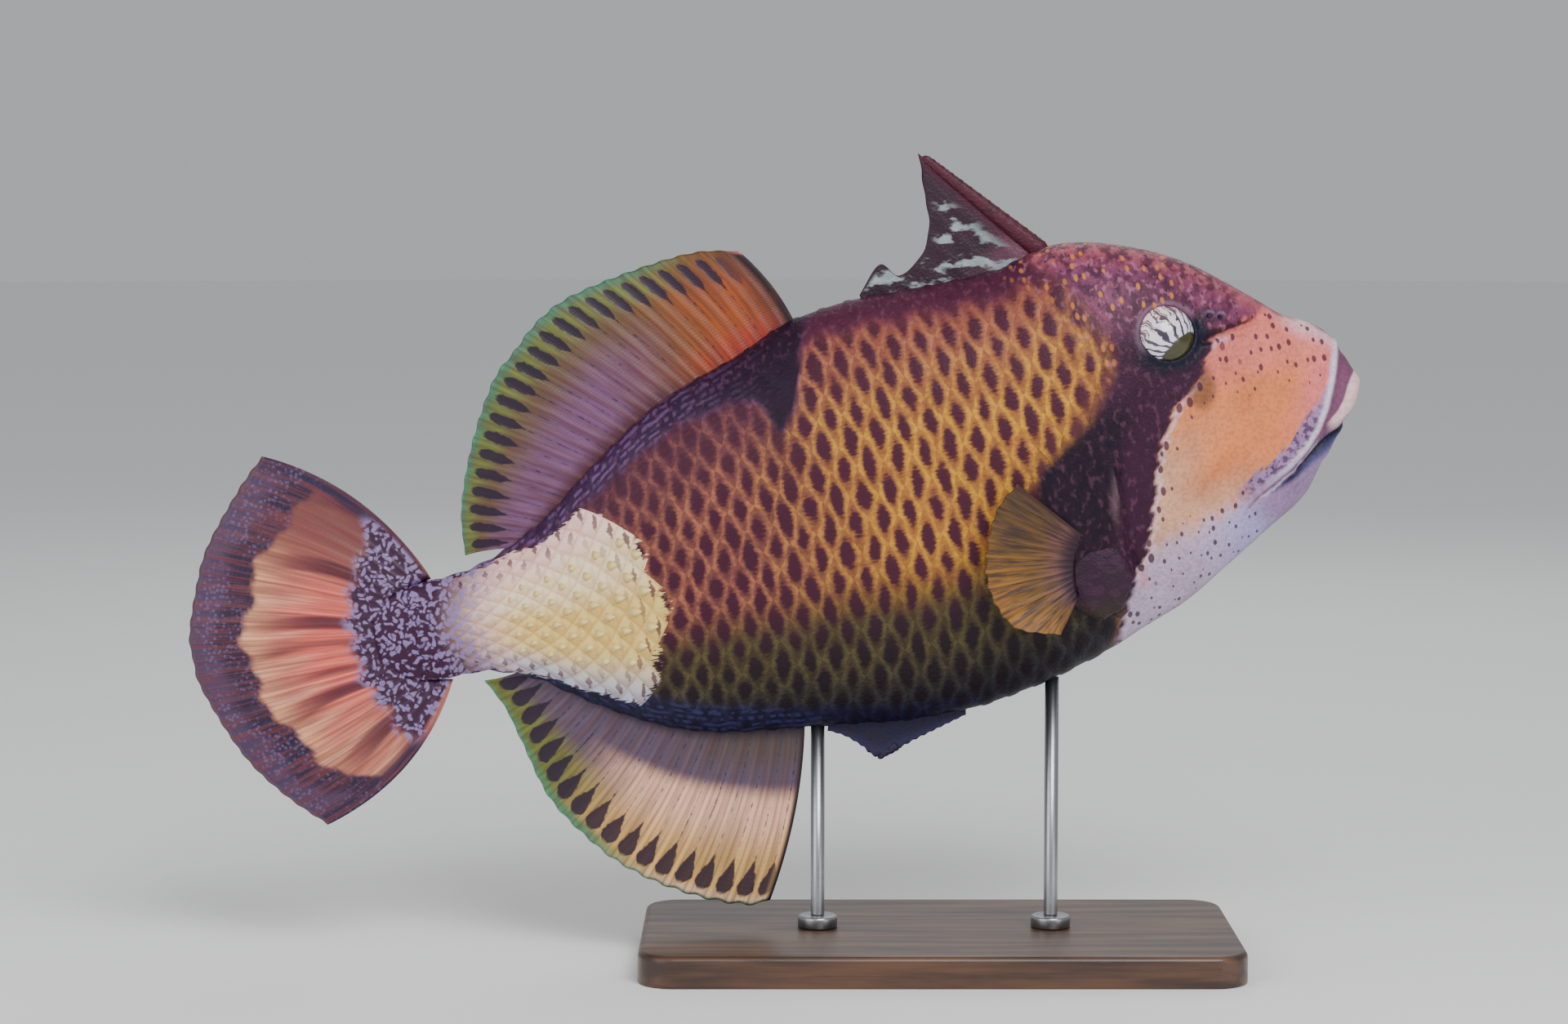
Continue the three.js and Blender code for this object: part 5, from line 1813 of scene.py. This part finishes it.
@dataclass
class AnalFin(MidlineFin):
    """The anal fin: mauve at its root, darkened there by a painted shadow of the body, peach in front with
    painted sunlight on it, yellow-green behind, with a green margin.
    """

    name: str = "soft_anal_fin"
    node: str = "anal_fin"
    slot: str = "soft_fin"
    rays: int = 19
    start: float = 305.0
    stop: float = 437.0
    below: bool = True
    wave: float = -6.0
    phase: float = 0.15
    margin: Outline = Outline(
        (341, -190.5), (350, -191.4), (366.5, -186.2), (385.5, -176.7), (404, -164.4), (421, -148),
        (440, -119), (448, -86), (452, -68), (459, -52),
    )

    def knee_shift(self, u: Array) -> Arrays:
        """Bows the rays down and forward, the front ones most."""
        return 6 * u - 8, 0 * u - 2

    def look(self, u: Array, r: Array) -> Fields:
        """Colours the fin."""
        ground = layered(
            u.shape,
            # The dark mauve ground and the darker inner front are painted shadow of the body over the fin's
            # inner third
            paint(84, 70, 90),
            (paint(76, 66, 66), ramp(r, 0.36, 0.12) * ramp(u, 0.55, 0.2)),
            # Painted sunlight: a bright peach patch over the fin's own peach
            (paint(228, 178, 152), ramp(r + 0.05 * u, 0.34, 0.46) * ramp(u, 0.72, 0.42)),
            (paint(196, 156, 92), ramp(r, 0.5, 0.82) * ramp(u, 0.9, 0.55)),
            (paint(96, 104, 46), ramp(u, 0.45, 0.72) * ramp(r, 0.42, 0.75)),
            (paint(206, 172, 138), ramp(r, 0.92, 0.97) * ramp(u, 0.5, 0.2)),
            (paint(70, 122, 80), ramp(r, 0.9, 0.965) * ramp(u, 0.3, 0.55)),
            (paint(96, 156, 130), ramp(r, 0.975, 0.99)),
            (paint(24, 20, 48), ramp(r, 0.12, 0.02)),
            (paint(18, 14, 24), ramp(u, 0.020, 0.008)),
        )
        return fin_marks(ground, wedged=ramp(u, 0.0, 0.03))


@dataclass
class TailFin(Fin):
    """The tail fin: a lace at its root, an orange-pink fan and a broad dark band at its margin."""

    name: str = "tail_fin"
    node: str = "caudal_fin"
    slot: str = "tail_fin"
    rays: int = 25
    root: float = 4.6
    notch: float = 0.006
    bend: float = 9.0
    pleat: float = 0.9
    line: Outline = Outline((474, 4), (496, -3), (501, -22), (496, -41), (474, -48))
    margin: Outline = Outline(
        (545, 81.5), (560, 68), (582, 43), (592, 24.4), (601, 1), (602, -12), (601, -28), (588, -64.5),
        (572, -89), (553.5, -108.7),
    )

    def base(self, u: Array) -> Arrays:
        """Gives the curved root line in the end of the stalk."""
        return self.line.at(u)

    def knee_shift(self, u: Array) -> Arrays:
        """Bows the outer rays out, away from the middle."""
        from_middle = 2 * u - 1
        return -14.5 * from_middle**2, -15.5 * from_middle**3

    def camber(self, u: Array, r: Array) -> Array:
        """Bends the tail to the left, with shallow pleats."""
        return self.bend * r * r + self.pleat * np.sin(8 * math.pi * u) * np.sin(math.pi * r)

    def look(self, u: Array, r: Array) -> Fields:
        """Colours the fin."""
        middle = np.abs(2 * u - 1)
        bundles = np.sin(u * 47 + 1.2 * np.sin(r * 5)) * np.sin(u * 19 + 0.6)
        streaks = ramp(bundles, 0.05, 0.6) * ramp(r, 0.86, 0.35)
        pale = ramp(np.sin(u * 61 + 0.8 * np.sin(r * 7)), 0.3, 0.95) * ramp(streaks, 0.3, 0.0)
        band_start = 0.715 + 0.022 * np.sin(u * 31) + 0.012 * np.sin(u * 83) - 0.06 * ramp(middle, 0.75, 1.0)
        band = ramp(r - band_start, -0.014, 0.014)
        ground = layered(
            u.shape,
            paint(196, 116, 98),
            (paint(220, 104, 92), ramp(r, 0.62, 0.36) * ramp(middle, 0.8, 0.25)),
            (paint(210, 146, 112), ramp(r, 0.55, 0.7)),
            (paint(112, 64, 62), ramp(u, 0.34, 0.1)),
            (paint(172, 100, 84), ramp(u, 0.78, 0.95) * 0.8),
            (paint(64, 24, 44), streaks * 0.92),
            (paint(232, 172, 140), pale * ramp(r, 0.3, 0.5) * 0.45 * ramp(u, 0.15, 0.35)),
            (paint(34, 22, 52), band),
            (paint(68, 52, 84), ramp(r - band_start, 0.10, 0.19) * 0.8),
            (paint(36, 26, 58), ramp(middle, 0.90, 0.965) * ramp(r, 0.2, 0.4)),
            (paint(110, 92, 108), ramp(r, 0.982, 0.995)),
        )
        edge = 0.16 + 0.05 * middle + 0.2 * middle**3 + 0.02 * np.sin(u * 50)
        lace = ramp(r - edge, 0.08, -0.08) * ramp(middle, 1.0, 0.9)
        return fin_marks(ground, lace=lace, band=band * ramp(r, 0.99, 0.95))


@dataclass
class BreastFin(Fin):
    """A breast fin: yellow-brown rays that fan back from a dark lobe."""

    name: str = "breast_fin"
    node: str = "pectoral_fin"
    slot: str = "breast_fin"
    rays: int = 14
    root: float = 3.2
    crest: float = 1.7
    notch: float = 0.02
    rows: int = 40
    side: int = 1
    flare: float = 17.0
    clear: float = 2.5
    line: Outline = Outline((150, -40), (156, -47), (159, -57), (160, -68))
    margin: Outline = Outline(
        (179, -5), (190, -14), (198, -28), (203, -46), (201, -62), (193, -75), (173, -82)
    )

    def __post_init__(self) -> None:
        """Names the fin and its solid by their side."""
        self.name += "_" + side_name(self.side)
        self.node += "_" + side_name(self.side)

    def base(self, u: Array) -> Arrays:
        """Gives the root line on the lobe."""
        return self.line.at(u)

    def camber(self, u: Array, r: Array) -> Array:
        """Stands the fin off the body."""
        return self.side * (breast_seat() + self.clear + self.flare * r**0.9)

    def look(self, u: Array, r: Array) -> Fields:
        """Colours the fin."""
        ground = layered(
            u.shape,
            paint(112, 78, 30),
            (paint(74, 54, 32), ramp(u, 0.5, 0.0) * 0.9),
            (paint(140, 94, 36), ramp(r, 0.5, 0.85) * ramp(u, 0.3, 0.7)),
            (paint(104, 66, 70), ramp(r, 0.5, 0.15) * 0.8),
            (paint(44, 20, 38), ramp(r, 0.27, 0.08)),
            (paint(64, 38, 30), ramp(u, 0.04, 0.0)),
        )
        return fin_marks(ground)


@dataclass
class FinLobe:
    """The fleshy, wrinkled lobe at the root of a breast fin."""

    side: int
    centre: Pair = (149.0, -60.0)
    half_length: float = 17.0
    half_thickness: float = 5.0
    half_height: float = 21.0
    sunk: float = 1.2

    def build(self, finish: Material) -> Piece:
        """Builds the lobe."""
        mesh = ball_mesh(f"fin_lobe_{side_name(self.side)}", 56, 36)
        x, y, z = points(mesh).T
        wrinkle = 1 + 0.03 * np.sin(9 * x + 4 * z)
        s = self.centre[0] - self.half_length * x * wrinkle
        y = self.side * (breast_seat() - self.sunk) + self.half_thickness * y * wrinkle
        z = self.centre[1] + self.half_height * z * wrinkle
        moved(mesh, to_metres(s, y, z))
        ground = layered(
            s.shape,
            paint(44, 18, 40),
            (paint(46, 38, 30), ramp(z, -66, -80)),
            (paint(150, 84, 100), ramp(z, -47, -41) * ramp(s, 142, 150) * 0.6),
        )
        add_fields(mesh, {"ground": ground, "mottle": np.full(s.shape, 0.6)})
        return dress(mesh, "breast_fin", finish)


@dataclass
class SpinyFin(MidlineFin):
    """The first back fin: mottled skin behind a stout locking spine."""

    name: str = "spiny_back_fin"
    node: str = "spiny_dorsal_fin"
    slot: str = "spiny_fin"
    rays: int = 8
    root: float = 3.0
    crest: float = 2.2
    skin: float = 1.4
    edge: float = 1.0
    per_ray: int = 14
    start: float = 136.0
    stop: float = 233.0
    margin: Outline = Outline(
        (191, 161.5), (192.2, 140), (192.8, 126.5), (199, 112.5), (212.5, 104), (221, 111.5), (234, 98.5)
    )

    def look(self, u: Array, r: Array) -> Fields:
        """Colours the fin."""
        ground = layered(
            u.shape,
            paint(48, 26, 42),
            (paint(84, 34, 52), ramp(u + 0.1 * r, 0.2, 0.05)),
            (paint(120, 76, 96), ramp(r, 0.35, 0.1) * ramp(u, 0.5, 0.1) * 0.6),
        )
        return {"ground": ground, "mottle": ramp(u, 0.10, 0.2) * ramp(r, 0.95, 0.75)}


@dataclass
class BellyFlap(MidlineFin):
    """The keel before the vent."""

    name: str = "belly_keel"
    node: str = "belly_flap"
    slot: str = "belly_flap"
    rays: int = 18
    root: float = 5.0
    crest: float = 4.0
    skin: float = 3.4
    edge: float = 1.8
    notch: float = 0.05
    per_ray: int = 6
    rows: int = 24
    start: float = 224.0
    stop: float = 293.0
    below: bool = True
    margin: Outline = Outline(
        (225, -119.5), (250, -126), (272, -131.6), (280, -124), (287, -117.5), (295, -113)
    )

    def look(self, u: Array, r: Array) -> Fields:
        """Colours the flap."""
        ground = layered(u.shape, paint(24, 22, 52), (paint(48, 44, 78), ramp(r, 0.5, 1.0) * 0.6))
        return {"ground": ground, "mottle": np.zeros(u.shape)}


@dataclass
class RoughSpine:
    """A tapered spine with rows of small knobs along it."""

    name: str
    start: Pair
    stop: Pair
    root_radius: float
    tip_radius: float
    colour: Rgb
    slot: str
    nodes: tuple[str, ...] = ()
    flatness: float = 0.8
    knobs: float = 0.35
    rows: int = 90
    columns: int = 28

    def build(self, finish: Material) -> Piece:
        """Builds the spine."""
        t = np.linspace(0, 1, self.rows + 1)[:, None]
        turn = np.linspace(0, 2 * math.pi, self.columns + 1)[None, :]
        (s0, z0), (s1, z1) = self.start, self.stop
        length = math.hypot(s1 - s0, z1 - z0)
        taper = self.root_radius * (1 - t) + self.tip_radius * t
        knob = self.knobs * np.maximum(np.sin(turn * 7) * np.sin(t * length * 1.1), 0)
        radius = (taper + knob) * np.sqrt(np.clip(1 - ((t - 0.5) * 2) ** 24, 0, 1))
        out = radius * np.cos(turn) / length
        s = s0 + (s1 - s0) * t - (z1 - z0) * out
        z = z0 + (z1 - z0) * t + (s1 - s0) * out
        y = radius * np.sin(turn) * self.flatness
        fields = {"ground": layered(s.shape, paint(*self.colour)), "mottle": np.zeros(s.shape)}
        return dress(grid_mesh(self.name, to_metres(s, y, z), fields), self.slot, finish, *self.nodes)


@dataclass
class StandBase:
    """The wooden base, with rounded corners and a soft upper edge."""

    corner: float = 18.0
    upper: float = 3.0
    foot: float = 1.0

    def build(self, finish: Material) -> Piece:
        """Builds the base."""
        low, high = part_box("stand_base")
        bm = bmesh.new()
        bmesh.ops.create_cube(bm, size=1.0)
        bmesh.ops.scale(bm, vec=high - low, verts=bm.verts)
        bmesh.ops.translate(bm, vec=(low + high) / 2, verts=bm.verts)
        self.bevel(bm, (low.z, high.z), self.corner, 16)
        self.bevel(bm, (high.z, high.z), self.upper, 5)
        self.bevel(bm, (low.z, low.z), self.foot, 2)
        return dress(plain_mesh(bm, "walnut_base"), "stand_base", finish, "stand_base")

    @staticmethod
    def bevel(bm: bmesh.types.BMesh, ends: Pair, offset: float, segments: int) -> None:
        """Rounds edges.

        Args:
            bm: The base.
            ends: Heights of the edges' lower and upper ends, in metres.
            offset: How far the rounding reaches, in millimetres.
            segments: Faces across the rounding.
        """
        edges = [e for e in bm.edges if np.allclose(sorted(v.co.z for v in e.verts), ends, 0, 1e-6)]
        bmesh.ops.bevel(
            bm, geom=edges, offset=offset * MM, segments=segments, profile=0.5, affect="EDGES", material=-1
        )


@dataclass
class Turned:
    """A round steel part of the stand, spun about an upright axis: a rod, or a collar with a shoulder."""

    kind: str
    label: str
    x: float
    radius: float = 3.5
    foot: Pair = (0.0, 0.4)
    shoulder: float = 0.0
    shoulder_steps: int = 1

    def profile(self, low: float, high: float) -> list[Pair]:
        """Gives pairs of radius and height in metres, on the axis at both ends."""
        radius, bevel = self.radius * MM, self.shoulder * MM
        inset, rise = self.foot[0] * MM, self.foot[1] * MM
        arc = [
            (radius - bevel + bevel * math.cos(a), high - bevel + bevel * math.sin(a))
            for a in np.linspace(0, math.pi / 2, self.shoulder_steps)
        ]
        return [(0, low), (radius - inset, low), (radius, low + rise), *arc, (0, high)]

    def build(self, finish: Material) -> Piece:
        """Builds the part."""
        node = f"stand_{self.kind}_{self.label}"
        low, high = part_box(node)
        bm = bmesh.new()
        verts = [bm.verts.new((radius, 0, height)) for radius, height in self.profile(low.z, high.z)]
        edges = [bm.edges.new(pair) for pair in zip(verts[:-1], verts[1:])]
        turn = {"cent": (0, 0, 0), "axis": (0, 0, 1), "angle": 2 * math.pi, "steps": 48, "use_merge": True}
        bmesh.ops.spin(bm, geom=verts + edges, **turn)
        bmesh.ops.translate(bm, vec=(self.x * MM, 0, 0), verts=bm.verts)
        return dress(smooth_mesh(bm, f"{self.kind}_{self.label}"), "stand_metal", finish, node)


@dataclass
class Studio:
    """Floor, lights and the camera at the photograph's viewing angle."""

    lens: float = 85.0
    distance: float = 1.858
    elevation: float = math.radians(5)
    target: tuple[float, float, float] = (-0.078, 0.0, 0.227)

    def aim(self, thing: Piece, place: Vector) -> None:
        """Places a camera or lamp and points it at the fish."""
        link(thing)
        thing.location = place
        thing.rotation_euler = (Vector(self.target) - thing.location).to_track_quat("-Z", "Y").to_euler()

    def camera(self) -> None:
        """Makes the camera."""
        data = bpy.data.cameras.new("camera")
        data.lens = self.lens
        data.sensor_width = 36
        data.clip_start = 0.05
        camera = bpy.data.objects.new("camera", data)
        back = Vector((0, -math.cos(self.elevation), math.sin(self.elevation)))
        self.aim(camera, Vector(self.target) + back * self.distance)
        bpy.context.scene.camera = camera

    def floor(self) -> None:
        """Makes a wide pale floor."""
        bm = bmesh.new()
        bmesh.ops.create_circle(bm, cap_ends=True, segments=96, radius=14)
        mesh = smooth_mesh(bm, "floor")
        floor = bpy.data.objects.new("floor", mesh)
        link(floor)
        sk = Sketch("floor")
        sk.finish((0.93, 0.93, 0.93, 1), 0.9)
        mesh.materials.append(sk.material)

    def light(self, name: str, place: tuple[float, float, float], size: float, power: float) -> None:
        """Makes a square lamp that faces the fish."""
        data = bpy.data.lights.new(name, "AREA")
        data.size = size
        data.energy = power
        self.aim(bpy.data.objects.new(name, data), Vector(place))

    def build(self) -> None:
        """Makes the floor, the lights and the background."""
        self.floor()
        self.light("key", (0.5, -1.5, 1.6), 1.1, 34)
        self.light("fill", (-1.4, -1.2, 0.8), 1.4, 13)
        self.light("rear", (0.2, 1.6, 1.5), 1.4, 7)
        self.light("low", (1.3, -1.3, 0.12), 0.8, 4)
        world = bpy.data.worlds.new("room")
        bpy.context.scene.world = world
        world.use_nodes = True
        background = world.node_tree.nodes["Background"]
        background.inputs[0].default_value = (0.86, 0.88, 0.90, 1)
        background.inputs[1].default_value = 0.52


def main() -> None:
    """Builds the scene piece by piece."""
    logging.basicConfig(level=logging.INFO)
    studio = Studio()
    studio.camera()
    skin = SkinFinish().material()
    eye = EyeFinish().material()
    soft = FinFinish("back_fin_skin").material()
    low = FinFinish(
        "anal_fin_skin", wedge_width=0.40, wedge_margin=4.5, wedge_taper=16.0, streak_strength=0.3
    ).material()
    tail = FinFinish("tail_fin_skin", streak=(120, 56, 56), streak_strength=0.5).material()
    breast = FinFinish("breast_fin_skin", streak=(50, 32, 34), streak_strength=0.85).material()
    rough = SpineFinish("spiny_fin_skin").material()
    fleshy = SpineFinish("fin_lobe_skin", 0.55, 150.0, light=(84, 44, 74), grey=(62, 28, 54)).material()
    steel = SteelFinish().material()
    collar = {"radius": 10.0, "foot": (0.3, 0.3), "shoulder": 1.4, "shoulder_steps": 6}
    pieces = (
        (Skin(), skin),
        (ScalePlates(), skin),
        (StalkSpines(), HornFinish().material()),
        *((Eye(side), eye) for side in (1, -1)),
        (BackFin(), soft),
        (AnalFin(), low),
        (TailFin(), tail),
        (BreastFin(side=1), breast),
        (FinLobe(1), fleshy),
        (BreastFin(side=-1), breast),
        (FinLobe(-1), fleshy),
        (SpinyFin(), rough),
        (BellyFlap(), rough),
        (RoughSpine("locking_spine", (139, 99), (189, 159.5), 5, 2, (74, 26, 42), "spiny_fin"), rough),
        (
            RoughSpine(
                "keel_spine", (262, -127.4), (273, -131.8), 2.4, 1.0, (40, 30, 56), "spine", ("pelvic_spine",)
            ),
            rough,
        ),
        (StandBase(), WoodFinish().material()),
        (Turned("collar", "rear", -61.0, **collar), steel),
        (Turned("rod", "rear", -61.0), steel),
        (Turned("collar", "front", 57.0, **collar), steel),
        (Turned("rod", "front", 57.0), steel),
    )
    for maker, finish in pieces:
        piece = maker.build(finish)
        LOG.info("%s: %d faces", piece.name, len(piece.data.polygons))
    studio.build()


if __name__ == "__main__":
    main()
